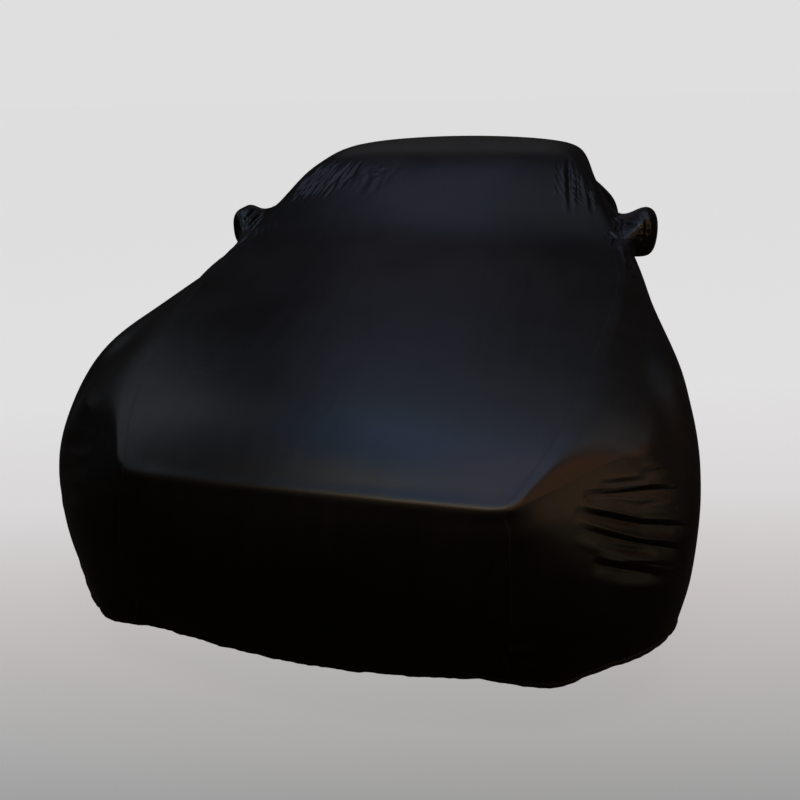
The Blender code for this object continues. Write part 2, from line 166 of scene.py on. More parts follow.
def cage_corners(cage):
    corners = {}
    for index, row in enumerate(STATIONS):
        middle = cage.verts.new((0.0, row.mid_y, row.mid_z))
        for side in (1, -1):
            corners[side, index, "mid"] = middle
            corners[side, index, "seam"] = cage.verts.new((side * row.seam_x, row.seam_y, row.seam_z))
    for name, row in SIDES.items():
        for line in LINES[1:]:
            x, y, z = getattr(row, line)
            for side in (1, -1):
                corners[side, NUMBER[name], line] = cage.verts.new((side * x, y, z))
    for column, lines in UPRIGHT.items():
        for line, index in lines.items():
            for side in (1, -1):
                corners[side, column, line] = corners[side, index, "seam"]
    return corners


def add_pocket(cage, corners, side, panel):
    """Adds the bag over a mirror ring by ring, and returns the numbers of its faces."""
    loose = cage.verts.layers.int["loose"]
    front, rear = (NUMBER[name] for name in POCKET_STATIONS)
    upper, lower = POCKET_LINES
    ring = [corners[side, front, lower], corners[side, rear, lower],
            corners[side, rear, upper], corners[side, front, upper]]
    numbers = []
    for row in [None] + POCKET_RINGS:
        outer = ring
        if row:
            outer = [cage.verts.new((side * row.x, row.y + along * row.half_long,
                                     row.z + up * row.half_high))
                     for along, up in ((-1, -1), (1, -1), (1, 1), (-1, 1))]
            for i in range(4):
                j = (i + 1) % 4
                numbers.append(add_face(cage, [ring[i], ring[j], outer[j], outer[i]], SQUARE,
                                        side, panel))
        for vert in outer:
            vert[loose] = 1
        ring = outer
    numbers.append(add_face(cage, ring, SQUARE, side, panel))
    return numbers


# %% Creases of the cage
def crease_lines(cage, corners):
    layer = cage.edges.layers.float.new("crease_edge")

    def crease(first, second, amount):
        edge = cage.edges.get((first, second))
        if edge is not None and amount:
            edge[layer] = max(edge[layer], amount)

    for side in (1, -1):
        for index, row in enumerate(STATIONS):
            crease(corners[side, index, "mid"], corners[side, index, "seam"], row.bend)
            if index + 1 < len(STATIONS):
                crease(corners[side, index, "seam"], corners[side, index + 1, "seam"], row.ridge)
        crease(corners[side, FRONT_CORNER, "seam"], corners[side, FRONT_CORNER + 1, "crest"], FIRM)
        for name, row in SIDES.items():
            index = NUMBER[name]
            if STATIONS[index + 1].name in SIDES:
                crease(corners[side, index, "crest"], corners[side, index + 1, "crest"], row.ridge)


# %% The whole cage
def build_cage():
    """Returns the cage, and the numbers of the faces of the centre, the sides and the pockets."""
    cage = bmesh.new()
    cage.verts.layers.int.new("loose")
    cage.loops.layers.uv.new("grid")
    corners = cage_corners(cage)
    centre, sides, pockets = {}, {}, {}
    for side, word in ((1, "left"), (-1, "right")):
        for index in range(len(STATIONS) - 1):
            centre[side, index] = add_face(
                cage, [corners[side, index, "mid"], corners[side, index, "seam"],
                       corners[side, index + 1, "seam"], corners[side, index + 1, "mid"]],
                SQUARE, side, "centre_panel")
        for index in range(FRONT_CORNER, REAR_CORNER):
            for upper, lower in zip(LINES, LINES[1:]):
                if (STATIONS[index].name, (upper, lower)) != (POCKET_STATIONS[0], POCKET_LINES):
                    sides[word, index, lower] = add_face(
                        cage, [corners[side, index, lower], corners[side, index + 1, lower],
                               corners[side, index + 1, upper], corners[side, index, upper]],
                        SQUARE, side, "side_panel_" + word)
        pockets[side] = add_pocket(cage, corners, side, "mirror_pocket_" + word)
    crease_lines(cage, corners)
    return cage, centre, sides, pockets


cage, CENTRE_FACES, SIDE_FACES, POCKET_FACES = build_cage()
print("faces of the cage:", len(cage.faces))

# %% [markdown]
# ## From the cage to a smooth form
#
# Subdivision draws the cloth in from the corners of the cage, as elastic does, so the corners are
# moved out by what it misses them by, in a few steps.  The form is then read back at two
# finenesses: a coarser one for the broad side panels, and a finer one that the centre panel and the
# pockets are picked from.  The folds are pressed into plain arrays of points, which is quick.

# %% Reading a subdivided form
Form = namedtuple("Form", "points faces panels places")


def smooth_form(cage, levels):
    mesh = bpy.data.meshes.new("cage")
    for panel in PANELS:
        mesh.materials.append(None)
    cage.to_mesh(mesh)
    holder = bpy.data.objects.new("cage", mesh)
    bpy.context.scene.collection.objects.link(holder)
    smooth = holder.modifiers.new("smooth", "SUBSURF")
    smooth.levels = smooth.render_levels = levels
    smooth.uv_smooth = "NONE"
    fine = bpy.data.meshes.new_from_object(
        holder.evaluated_get(bpy.context.evaluated_depsgraph_get()))
    points = np.empty(len(fine.vertices) * 3)
    fine.vertices.foreach_get("co", points)
    faces = np.empty(len(fine.loops), dtype=np.int64)
    fine.loops.foreach_get("vertex_index", faces)
    panels = np.empty(len(fine.polygons), dtype=np.int64)
    fine.polygons.foreach_get("material_index", panels)
    places = np.empty(len(fine.loops) * 2)
    fine.uv_layers["grid"].uv.foreach_get("vector", places)
    bpy.data.objects.remove(holder)
    bpy.data.meshes.remove(fine)
    bpy.data.meshes.remove(mesh)
    return Form(points.reshape(-1, 3), faces.reshape(-1, 4), panels, places.reshape(-1, 2))


def settle(cage):
    """Moves the cage's corners until the smooth form passes through the points of the tables."""
    cage.verts.index_update()
    loose = cage.verts.layers.int["loose"]
    wanted = {vert: vert.co.copy() for vert in cage.verts if not vert[loose]}
    for step in range(SETTLE_STEPS):
        points = smooth_form(cage, SETTLE_LEVELS).points
        for vert, point in wanted.items():
            vert.co += point - Vector(points[vert.index])


def unit(vectors):
    return vectors / np.maximum(np.linalg.norm(vectors, axis=-1, keepdims=True), 1e-12)


def corner_normals(points, faces):
    """A normal for each point: the mean of its faces' normals, larger faces counting for more."""
    across = points[faces[:, 2]] - points[faces[:, 0]]
    along = points[faces[:, 3]] - points[faces[:, 1]]
    face_normals = np.repeat(np.cross(across, along), 4, axis=0)
    at = faces.ravel()
    total = np.stack([np.bincount(at, face_normals[:, k], len(points)) for k in range(3)], axis=1)
    return unit(total)


settle(cage)
COARSE, FINE = 4, 6      # levels of subdivision
coarse = smooth_form(cage, COARSE)
fine = smooth_form(cage, FINE)
print("points:", len(coarse.points), "coarse and", len(fine.points), "fine")

# %% [markdown]
# ## Folds
#
# Cloth that is pulled tight between a corner and the hem buckles into long, shallow troughs that
# fan out from the corner.  Each fold here is a path, a half width and a depth; it is deepest half
# way along, fades at its ends, and throws up a low ridge on either side, as buckled cloth does.
# Where cloth is pulled hardest it doubles over a little, so the upper side of a fold can be given
# some bite.  The main folds lie where the solids have theirs, and the fine ones between them.

# %% Where the car pushes the cloth out
Pull = namedtuple("Pull", "centre radius move")
PULLS = [
    Pull((0.95, -1.82, 0.68), 0.35, (0.014, -0.008, 0.005)),
    Pull((0.96, -1.85, 0.25), 0.40, (0.016, -0.010, 0.000)),
    Pull((0.62, -2.13, 0.18), 0.18, (0.000, -0.008, -0.020)),
    Pull((-0.93, -1.86, 0.22), 0.40, (0.012, 0.010, 0.000)),
    Pull((-0.65, -2.12, 0.18), 0.22, (-0.010, -0.015, -0.020)),
    Pull((-0.95, -0.37, 0.98), 0.18, (0.034, 0.010, -0.016)),
    Pull((-0.94, -0.38, 1.07), 0.10, (0.004, 0.000, -0.022)),
    *[Pull((side * 0.90, 1.08, 0.87), 0.50, (side * -0.050, 0.000, -0.032)) for side in (1, -1)],
]


def pull(points, row):
    away = np.linalg.norm(points - row.centre, axis=1) / row.radius
    near = away < 1.0
    points[near] += np.outer((1.0 - away[near] ** 2) ** 2, row.move)


# %% The main folds
Fold = namedtuple("Fold", "path half_width depth lip bite", defaults=(0.0,))
MAIN_FOLDS = [
    # Stretched folds at the left front corner, from the bonnet's corner to the wheel.
    Fold([(0.80, -1.886, 0.698), (0.90, -1.820, 0.690)], 0.024, 0.0050, 0.2, 0.8),
    Fold([(0.66, -1.988, 0.680), (0.78, -1.918, 0.661), (0.94, -1.828, 0.636)], 0.030, 0.0095, 0.3, 1.0),
    Fold([(0.67, -1.990, 0.670), (0.80, -1.926, 0.630), (0.90, -1.870, 0.617)], 0.022, 0.0060, 0.2, 0.9),
    Fold([(0.64, -2.024, 0.660), (0.72, -1.993, 0.629), (0.81, -1.952, 0.590), (0.95, -1.868, 0.546)],
         0.032, 0.0110, 0.3, 1.0),
    Fold([(0.65, -2.045, 0.630), (0.745, -2.007, 0.582), (0.81, -1.974, 0.549), (0.93, -1.908, 0.497)],
         0.032, 0.0110, 0.3, 1.0),
    Fold([(0.70, -2.040, 0.578), (0.86, -1.955, 0.512)], 0.022, 0.0050, 0.2, 0.8),
    Fold([(0.69, -2.062, 0.548), (0.77, -2.025, 0.502), (0.91, -1.945, 0.438)], 0.032, 0.0090, 0.3, 0.9),
    # Folds that fan out over the windscreen from the right corner of the roof.
    Fold([(-0.671, -0.33, 1.082), (-0.662, -0.10, 1.176), (-0.610, 0.03, 1.224)], 0.017, 0.0065, 0.5, 0.5),
    Fold([(-0.617, -0.34, 1.085), (-0.588, -0.16, 1.166), (-0.565, 0.00, 1.223)], 0.018, 0.0080, 0.5, 0.5),
    Fold([(-0.535, -0.29, 1.114), (-0.495, -0.15, 1.176), (-0.460, -0.04, 1.217)], 0.018, 0.0055, 0.4, 0.4),
    Fold([(-0.434, -0.26, 1.140), (-0.420, -0.06, 1.212)], 0.017, 0.0035, 0.4, 0.3),
    Fold([(-0.345, -0.32, 1.118), (-0.333, -0.12, 1.196)], 0.017, 0.0040, 0.4, 0.3),
    Fold([(-0.284, -0.33, 1.116), (-0.272, -0.10, 1.204)], 0.017, 0.0040, 0.4, 0.3),
    # Folds that hang down the windscreen and its pillar from the left corner of the roof.
    Fold([(0.583, 0.04, 1.226), (0.590, -0.12, 1.181), (0.612, -0.40, 1.063)], 0.020, 0.0085, 0.5, 0.7),
    Fold([(0.618, 0.08, 1.228), (0.650, -0.28, 1.105)], 0.017, 0.0060, 0.5, 0.5),
    Fold([(0.680, -0.10, 1.160), (0.697, -0.38, 1.058)], 0.017, 0.0045, 0.4, 0.4),
]

# %% Edges where the car's own corners show through
EDGES_BELOW = [
    Fold([(-0.476, -2.116, 0.692), (-0.222, -2.129, 0.697), (0.0, -2.129, 0.701), (0.244, -2.123, 0.701),
          (0.406, -2.113, 0.702), (0.497, -2.106, 0.695)], 0.036, -0.0035, 0.0, -1.0),
    Fold([(0.501, -2.103, 0.697), (0.548, -2.060, 0.704), (0.606, -2.004, 0.707), (0.680, -1.929, 0.720),
          (0.758, -1.870, 0.731), (0.824, -1.835, 0.721)], 0.055, -0.0060, 0.0, -1.0),
    Fold([(-0.476, -2.116, 0.692), (-0.531, -2.072, 0.709), (-0.628, -1.981, 0.710),
          (-0.732, -1.883, 0.727), (-0.802, -1.814, 0.738)], 0.050, -0.0055, 0.0, -1.0),
]

# %% The fine folds
def both_sides(folds):
    """The folds as they are given, on the left, and mirrored to the right."""
    return folds + [fold._replace(path=[(-x, y, z) for x, y, z in fold.path]) for fold in folds]


FINE_FOLDS = [
    # Small creases among the stretched folds of the left front corner.
    Fold([(0.700, -1.955, 0.690), (0.820, -1.880, 0.672)], 0.014, 0.0035, 0.4),
    Fold([(0.760, -1.940, 0.618), (0.900, -1.860, 0.590)], 0.015, 0.0045, 0.4),
    Fold([(0.730, -2.000, 0.590), (0.900, -1.900, 0.545)], 0.015, 0.0040, 0.4),
    Fold([(0.700, -2.055, 0.530), (0.850, -1.965, 0.478)], 0.016, 0.0035, 0.4),
    Fold([(0.820, -1.975, 0.452), (0.930, -1.900, 0.420)], 0.018, 0.0035, 0.4),
    Fold([(0.840, -1.845, 0.712), (0.915, -1.790, 0.705)], 0.014, 0.0035, 0.4),
    Fold([(0.760, -2.045, 0.405), (0.800, -2.020, 0.385)], 0.012, 0.0030, 0.4),
    Fold([(0.765, -2.045, 0.375), (0.805, -2.020, 0.358)], 0.012, 0.0030, 0.4),
    # The same corner on the far side, where the cloth lies a little slacker.
    Fold([(-0.68, -1.985, 0.670), (-0.92, -1.850, 0.625)], 0.034, 0.008, 0.3),
    Fold([(-0.66, -2.030, 0.622), (-0.93, -1.890, 0.540)], 0.036, 0.009, 0.3),
    Fold([(-0.70, -2.050, 0.545), (-0.92, -1.930, 0.455)], 0.034, 0.006, 0.3),
    # Diagonal creases where the elastic draws in the front hem.
    Fold([(0.500, -2.167, 0.364), (0.528, -2.154, 0.263), (0.537, -2.150, 0.212)], 0.012, 0.008, 0.6, 0.5),
    Fold([(0.516, -2.164, 0.376), (0.555, -2.149, 0.264), (0.567, -2.144, 0.212)], 0.012, 0.009, 0.6, 0.5),
    Fold([(0.540, -2.158, 0.362), (0.573, -2.146, 0.278), (0.592, -2.138, 0.212)], 0.012, 0.007, 0.6, 0.5),
    Fold([(0.297, -2.197, 0.313), (0.309, -2.183, 0.230)], 0.012, 0.005, 0.5, 0.4),
    Fold([(-0.505, -2.165, 0.330), (-0.545, -2.140, 0.215)], 0.016, 0.0045, 0.4),
    Fold([(-0.540, -2.160, 0.325), (-0.585, -2.135, 0.212)], 0.016, 0.0040, 0.4),
    # A crease behind the left pocket, where the mirror pulls the cloth down.
    Fold([(0.850, -0.090, 0.930), (0.885, 0.080, 0.880)], 0.022, 0.005, 0.4),
    # Creases in front of the pockets and on the wing, where the cloth is drawn towards the mirrors.
    Fold([(0.744, -0.541, 0.986), (0.769, -0.498, 0.998), (0.792, -0.528, 0.985), (0.774, -0.603, 0.965),
          (0.751, -0.601, 0.968)], 0.011, 0.0040, 0.5),
    Fold([(0.788, -0.740, 0.939), (0.835, -0.639, 0.943), (0.880, -0.520, 0.930)], 0.016, 0.0055, 0.5, 0.3),
    Fold([(0.793, -0.849, 0.928), (0.852, -0.669, 0.911)], 0.015, 0.0050, 0.5, 0.3),
    Fold([(0.792, -0.980, 0.916), (0.864, -0.737, 0.886)], 0.016, 0.0040, 0.5, 0.3),
    Fold([(-0.781, -0.505, 0.994), (-0.748, -0.599, 0.969)], 0.011, 0.0038, 0.5),
    Fold([(-0.755, -0.494, 1.001), (-0.719, -0.586, 0.976)], 0.011, 0.0045, 0.5),
    Fold([(-0.729, -0.483, 1.009), (-0.693, -0.565, 0.985)], 0.011, 0.0038, 0.5),
    Fold([(-0.698, -0.473, 1.016), (-0.667, -0.544, 0.995)], 0.011, 0.0030, 0.5),
    Fold([(0.730, -1.721, 0.795), (0.821, -1.659, 0.782)], 0.011, 0.0022, 0.5, 0.4),
    Fold([(0.735, -1.743, 0.789), (0.822, -1.684, 0.776)], 0.011, 0.0022, 0.5, 0.4),
    # The left pocket is a flat front, a crisp upper edge and a dark end.
    Fold([(0.811, -0.419, 1.020), (0.853, -0.478, 1.024), (0.909, -0.484, 1.011)], 0.016, 0.0050, 0.6, 0.3),
    Fold([(0.895, -0.427, 1.072), (0.912, -0.480, 1.018), (0.914, -0.479, 0.945)], 0.017, 0.0055, 0.6, 0.2),
    Fold([(0.815, -0.545, 0.981), (0.862, -0.516, 0.992), (0.905, -0.490, 0.979)], 0.014, 0.0035, 0.5),
    Fold([(0.780, -0.349, 1.040), (0.811, -0.401, 1.025), (0.801, -0.481, 1.000)], 0.016, 0.0050, 0.5),
    # The right one is more crumpled on top.
    Fold([(-0.853, -0.505, 1.006), (-0.842, -0.420, 1.041), (-0.850, -0.330, 1.050)],
         0.015, 0.0055, 0.6, 0.2),
    Fold([(-0.823, -0.535, 0.985), (-0.817, -0.438, 1.017), (-0.802, -0.376, 1.029)],
         0.015, 0.0055, 0.6, 0.2),
    Fold([(-0.865, -0.470, 1.036), (-0.830, -0.478, 1.010), (-0.793, -0.476, 1.001)], 0.013, 0.0045, 0.6),
    # Creases of the pockets: round the mouth, and across the top where the bag is gathered.
    Fold([(0.800, -0.500, 1.005), (0.845, -0.495, 1.055), (0.880, -0.480, 1.075)], 0.014, 0.005, 0.4),
    Fold([(0.850, -0.470, 1.080), (0.915, -0.450, 1.085)], 0.012, 0.0035, 0.5),
    Fold([(0.860, -0.400, 1.090), (0.930, -0.385, 1.092)], 0.012, 0.0030, 0.5),
    Fold([(0.850, -0.505, 0.960), (0.900, -0.490, 0.930), (0.940, -0.450, 0.905)], 0.014, 0.0045, 0.4),
    Fold([(0.860, -0.500, 1.010), (0.930, -0.485, 1.000)], 0.012, 0.0030, 0.5),
    Fold([(0.870, -0.300, 0.885), (0.935, -0.320, 0.880)], 0.014, 0.0040, 0.4),
    Fold([(-0.800, -0.500, 1.005), (-0.845, -0.495, 1.045), (-0.870, -0.480, 1.060)], 0.014, 0.005, 0.4),
    Fold([(-0.835, -0.465, 1.065), (-0.890, -0.445, 1.070)], 0.012, 0.0040, 0.5),
    Fold([(-0.845, -0.400, 1.078), (-0.905, -0.385, 1.080)], 0.012, 0.0035, 0.5),
    Fold([(-0.830, -0.500, 0.950), (-0.880, -0.480, 0.915), (-0.915, -0.440, 0.890)], 0.014, 0.0050, 0.4),
    Fold([(-0.840, -0.500, 0.995), (-0.900, -0.480, 0.985)], 0.012, 0.0035, 0.5),
]
FINE_FOLDS += both_sides([
    # Creases below and behind the pockets, where the mirrors pull the cloth down.
    Fold([(0.775, -0.640, 0.960), (0.835, -0.560, 0.925), (0.872, -0.480, 0.885)], 0.020, 0.006, 0.4),
    Fold([(0.800, -0.760, 0.935), (0.862, -0.640, 0.880)], 0.018, 0.005, 0.4),
    Fold([(0.815, -0.870, 0.915), (0.885, -0.700, 0.855)], 0.018, 0.004, 0.4),
    Fold([(0.800, -0.100, 1.020), (0.845, 0.060, 0.960)], 0.022, 0.005, 0.4),
    # The rear corners and the foot of the rear window.
    Fold([(0.60, 2.050, 0.900), (0.84, 1.830, 0.820)], 0.035, 0.008, 0.3),
    Fold([(0.60, 2.100, 0.780), (0.88, 1.860, 0.690)], 0.038, 0.009, 0.3),
    Fold([(0.62, 2.110, 0.600), (0.89, 1.880, 0.520)], 0.036, 0.006, 0.3),
    Fold([(0.555, 0.960, 1.225), (0.600, 1.300, 1.125)], 0.030, 0.006, 0.3),
    Fold([(0.500, 1.000, 1.225), (0.530, 1.300, 1.145)], 0.028, 0.004, 0.3),
])

# %% Pressing a fold into the cloth
STEEP_SIDE = 0.58        # how much of its half width a bitten fold loses on its steep side
TROUGH_POWER, SHARP_POWER = 2, 1.7       # of a soft and of a sharp bottom
RIDGE_PLACE, RIDGE_WIDTH = 1.15, 0.35    # of the low ridge on either side, in half widths
END_POWER = 0.8          # how quickly a fold fades at its ends
EDGE_END, EDGE_RISE = 0.5, 6.0           # how much of an edge is left at its ends, and how it rises


def press(points, smooth, normals, fold):
    """Presses a fold into points; distances are measured on the smooth form, before any fold.

    A fold with a bite is steep on the left of its path and has a sharp bottom, like a crease.  A
    bite below zero is for edges: just as sharp, but even on both sides and nearly all along."""
    path = np.array(fold.path)
    reach = 2.0 * fold.half_width
    near = np.flatnonzero(np.all((smooth > path.min(0) - reach) & (smooth < path.max(0) + reach),
                                 axis=1))
    at = smooth[near]
    lengths = np.linalg.norm(np.diff(path, axis=0), axis=1)
    closest = np.full(len(at), np.inf)
    along = np.zeros(len(at))
    above = np.zeros(len(at), dtype=bool)
    for k, (start, end) in enumerate(zip(path, path[1:])):
        t = np.clip((at - start) @ (end - start) / lengths[k] ** 2, 0.0, 1.0)
        offset = at - start - t[:, None] * (end - start)
        away = np.linalg.norm(offset, axis=1)
        better = away < closest
        closest[better] = away[better]
        left_of = (offset * np.cross(normals[near], end - start)).sum(1) > 0.0
        above[better] = left_of[better]
        along[better] = ((lengths[:k].sum() + t * lengths[k]) / lengths.sum())[better]
    steep = 1.0 - STEEP_SIDE * max(fold.bite, 0.0)
    across = closest / (fold.half_width * np.where(above, steep, 1.0))
    if fold.bite < 0.0:
        fade = np.minimum(EDGE_END + EDGE_RISE * along * (1.0 - along), 1.0)
    else:
        fade = (4.0 * along * (1.0 - along)) ** END_POWER
    inside, sharp = np.minimum(across, 1.0), abs(fold.bite)
    trough = ((1.0 - sharp) * (1.0 - inside ** 2) ** TROUGH_POWER
              + sharp * (1.0 - inside) ** SHARP_POWER)
    ridge = fold.lip * np.exp(-((across - RIDGE_PLACE) / RIDGE_WIDTH) ** 2)
    points[near] -= normals[near] * (fold.depth * fade * (trough - ridge))[:, None]


def shaped(form):
    """Returns a form with its pulls and folds, and the normals of the cloth before the folds."""
    smooth = form.points.copy()
    for row in PULLS:
        pull(smooth, row)
    normals = corner_normals(smooth, form.faces)
    points = smooth.copy()
    for fold in MAIN_FOLDS + EDGES_BELOW + FINE_FOLDS + STREAKS:
        press(points, smooth, normals, fold)
    return form._replace(points=points), normals


# %% Fans of short streaks below the corners of the roof
WINDSCREEN_FOOT = 0.9                    # the cloth of the windscreen and roof lies above this
SEARCH = 0.03                            # how far a place is looked for round itself
LOW_ENDS, HIGH_ENDS = (-0.34, -0.22), (-0.12, 0.02)      # where a streak may end, along the car
STREAK_WIDTHS, STREAK_CHANCE = (0.008, 0.012), (0.6, 1.2)
STREAK_LIP, STREAK_BITE = 0.5, 0.3
CROWDING, UNEVENNESS = 1.25, 0.3         # streaks crowd at the corner, and their steps vary


def on_cloth(form, x, y):
    """The point of the upper cloth at a place seen from above."""
    points = form.points
    near = points[(np.abs(points[:, 0] - x) < SEARCH) & (np.abs(points[:, 1] - y) < SEARCH)
                  & (points[:, 2] > WINDSCREEN_FOOT)]
    nearest = np.argsort(np.hypot(near[:, 0] - x, near[:, 1] - y))[:4]
    return (x, y, float(near[nearest, 2].mean()))


def fan_of_streaks(form, count, from_x, to_x, lean, depths, seed):
    """Short narrow creases side by side, deepest at the corner and fainter away from it."""
    luck = random.Random(seed)
    streaks = []
    for k in range(count):
        share = (k + luck.uniform(-UNEVENNESS, UNEVENNESS)) / (count - 1)
        x = from_x + (to_x - from_x) * share ** CROWDING if share > 0 else from_x
        low, high = luck.uniform(*LOW_ENDS), luck.uniform(*HIGH_ENDS)
        path = [on_cloth(form, x - lean / 2, low), on_cloth(form, x, (low + high) / 2),
                on_cloth(form, x + lean / 2, high)]
        depth = depths[0] + (depths[1] - depths[0]) * min(max(share, 0.0), 1.0)
        streaks.append(Fold(path, luck.uniform(*STREAK_WIDTHS), depth * luck.uniform(*STREAK_CHANCE),
                            STREAK_LIP, STREAK_BITE))
    return streaks


STREAKS = (fan_of_streaks(coarse, count=30, from_x=-0.650, to_x=-0.215, lean=0.050,
                          depths=(0.0080, 0.0030), seed=5)
           + fan_of_streaks(coarse, count=11, from_x=0.690, to_x=0.535, lean=-0.020,
                            depths=(0.0052, 0.0026), seed=11))
print("streaks:", len(STREAKS))

# %% Shaping both forms
coarse, coarse_normals = shaped(coarse)
fine, fine_normals = shaped(fine)
print("folds pressed:", len(MAIN_FOLDS), "main,", len(EDGES_BELOW), "edges and", len(FINE_FOLDS), "fine")

# %% [markdown]
# ## The lines that are sewn
#
# Two panels meet along a line of edges.  Walking along those edges gives the path of each seam, and
# the walk along the edges with one face gives the hem.  At each point of a seam the path also keeps
# two directions, one into each panel, so that what is sewn on follows the bend of the cloth there.

# %% Walking along a seam
Path = namedtuple("Path", "points normals first second closed")


def edge_table(faces):
    """Maps each edge to the numbers of its faces."""
    table = {}
    for number, ring in enumerate(faces.tolist()):
        for a, b in zip(ring, ring[1:] + ring[:1]):
            table.setdefault((a, b) if a < b else (b, a), []).append(number)
    return table


EDGES = edge_table(coarse.faces)


def chain(edges):
    """Puts a set of joined edges in order: returns the points' numbers and whether they close."""
    beside = {}
    for a, b in edges:
        beside.setdefault(a, []).append(b)
        beside.setdefault(b, []).append(a)
    ends = sorted(v for v, others in beside.items() if len(others) == 1)
    start = ends[0] if ends else min(beside)
    order, last = [start], None
    while True:
        onwards = [v for v in sorted(beside[order[-1]]) if v != last]
        if not onwards or onwards[0] == start:
            return order, not ends
        last = order[-1]
        order.append(onwards[0])


def sewn_path(first_panel, second_panel=None):
    """The path between two panels, or along the free edge of the first one where there is no second."""
    edges = {}
    for edge, owners in EDGES.items():
        kinds = {int(coarse.panels[number]) for number in owners}
        if second_panel is None and len(owners) == 1:
            edges[edge] = (owners[0], owners[0])
        elif second_panel is not None and kinds == {first_panel, second_panel}:
            a, b = owners
            edges[edge] = (a, b) if coarse.panels[a] == first_panel else (b, a)
    order, closed = chain(edges)
    points = coarse.points[order]
    tangents = np.roll(points, -1, 0) - np.roll(points, 1, 0)
    if not closed:
        tangents[0], tangents[-1] = points[1] - points[0], points[-1] - points[-2]
    tangents = unit(tangents)
    sides = np.zeros((2, len(order), 3))
    place = {vert: k for k, vert in enumerate(order)}
    for (a, b), owners in edges.items():
        middle = (coarse.points[a] + coarse.points[b]) / 2
        for which in (0, 1):
            inwards = coarse.points[coarse.faces[owners[which]]].mean(axis=0) - middle
            sides[which, place[a]] += inwards
            sides[which, place[b]] += inwards
    for which in (0, 1):
        sides[which] -= tangents * (sides[which] * tangents).sum(1, keepdims=True)
    return Path(points, coarse_normals[order], unit(sides[0]), unit(sides[1]), closed)


CENTRE, LEFT, RIGHT, LEFT_POCKET, RIGHT_POCKET = range(5)
SEAM_PATHS = {"left": sewn_path(CENTRE, LEFT), "right": sewn_path(CENTRE, RIGHT)}
POCKET_PATHS = {"left": sewn_path(LEFT, LEFT_POCKET), "right": sewn_path(RIGHT, RIGHT_POCKET)}
HEM_PATH = sewn_path(CENTRE)


def path_length(path):
    points = np.vstack([path.points, path.points[:1]]) if path.closed else path.points
    return float(np.linalg.norm(np.diff(points, axis=0), axis=1).sum())


print("seams:", round(path_length(SEAM_PATHS["left"]), 2), round(path_length(SEAM_PATHS["right"]), 2),
      "pocket mouth:", round(path_length(POCKET_PATHS["left"]), 2),
      "hem:", round(path_length(HEM_PATH), 2))


# %% Drawing a path afresh with even steps
def evenly(path, step):
    """The same path with points a step apart, its directions blended between the old ones."""
    rows = [np.vstack([rows, rows[:1]]) if path.closed else rows for rows in path[:4]]
    run = np.r_[0.0, np.cumsum(np.linalg.norm(np.diff(rows[0], axis=0), axis=1))]
    count = max(int(round(run[-1] / step)), 3)
    at = np.linspace(0.0, run[-1], count + 1)
    if path.closed:
        at = at[:-1]
    rows = [np.stack([np.interp(at, run, one[:, k]) for k in range(3)], axis=1) for one in rows]
    return Path(rows[0], *[unit(row) for row in rows[1:]], path.closed)


# %% [markdown]
# ## Gathers at the hem
#
# The elastic in the hem is shorter than the cloth, so the cloth puckers above it.  The puckers are
# waves along the hem that die away a hand's width above it.  Every third or fourth one is larger, as
# cloth never gathers evenly, and they are the same each time because their phases are fixed.

# %% Waves along the hem
HEM_STEP = 0.006
HEM_LINE = evenly(HEM_PATH, HEM_STEP)
HEM_RUN = np.arange(len(HEM_LINE.points)) * HEM_STEP


def waves(run, lengths, phases):
    """The mean of a few waves of different lengths, so that no two gathers are alike."""
    total = sum(np.sin(2.0 * math.pi * run / length + phase)
                for length, phase in zip(lengths, phases))
    return total / len(lengths)


def hem_gather(run):
    return waves(run, lengths=(0.094, 0.131, 0.187, 0.071), phases=(0.3, 1.9, 4.1, 2.6))


GATHER_DEPTH, GATHER_REACH, GATHER_FADE = 0.0026, 0.050, 1.5
GATHER_TOP = 0.45        # no point above this is near the hem


def gather(points, normals):
    """Moves the points near the hem in and out with its gathers."""
    tree = KDTree(len(HEM_LINE.points))
    for k, point in enumerate(HEM_LINE.points):
        tree.insert(point, k)
    tree.balance()
    low = np.flatnonzero(points[:, 2] < GATHER_TOP)
    moves = np.zeros(len(low))
    for k, number in enumerate(low):
        _, at, away = tree.find(points[number])
        fade = math.exp(-(away / GATHER_REACH) ** GATHER_FADE)
        moves[k] = hem_gather(at * HEM_STEP) * GATHER_DEPTH * fade
    points[low] += normals[low] * moves[:, None]


gather(coarse.points, coarse_normals)
print("hem points:", len(HEM_LINE.points), "gather depth:", GATHER_DEPTH)

# %% [markdown]
# ## The panels
#
# A panel could be cut out of one mesh, but then every panel would be as dense as the finest fold
# needs.  The centre panel is instead drawn row by row from the fine form: its columns crowd
# together towards the seams, where the creases of the roof's corners are, and its rows crowd together
# over the windscreen.  The side panels are coarse where they are smooth, and fine in the few faces
# of the cage where the cloth is crumpled.  Solidify then gives every panel its thickness.

# %% Grids of the fine form
STEPS = 2 ** FINE


def face_grids(form):
    """For each face of the cage, the number of the point at each place of its grid."""
    number = np.floor(form.places[:, 0] / 2.0).astype(int)
    across = np.rint((form.places[:, 0] - 2.0 * number) * STEPS).astype(int)
    along = np.rint(form.places[:, 1] * STEPS).astype(int)
    grids = np.zeros((number.max() + 1, STEPS + 1, STEPS + 1), dtype=np.int64)
    grids[number, along, across] = form.faces.ravel()
    return grids


GRIDS = face_grids(fine)
CROWDED_FROM = 0.6       # columns crowd together past this share of the way to the seam
WIDE_COLUMNS, CROWDED_COLUMNS = 28, 49
COLUMNS = STEPS * np.concatenate([np.linspace(0.0, CROWDED_FROM, WIDE_COLUMNS, endpoint=False),
                                  np.linspace(CROWDED_FROM, 1.0, CROWDED_COLUMNS)])
print("grids:", len(GRIDS), "columns from the middle to a seam:", len(COLUMNS))


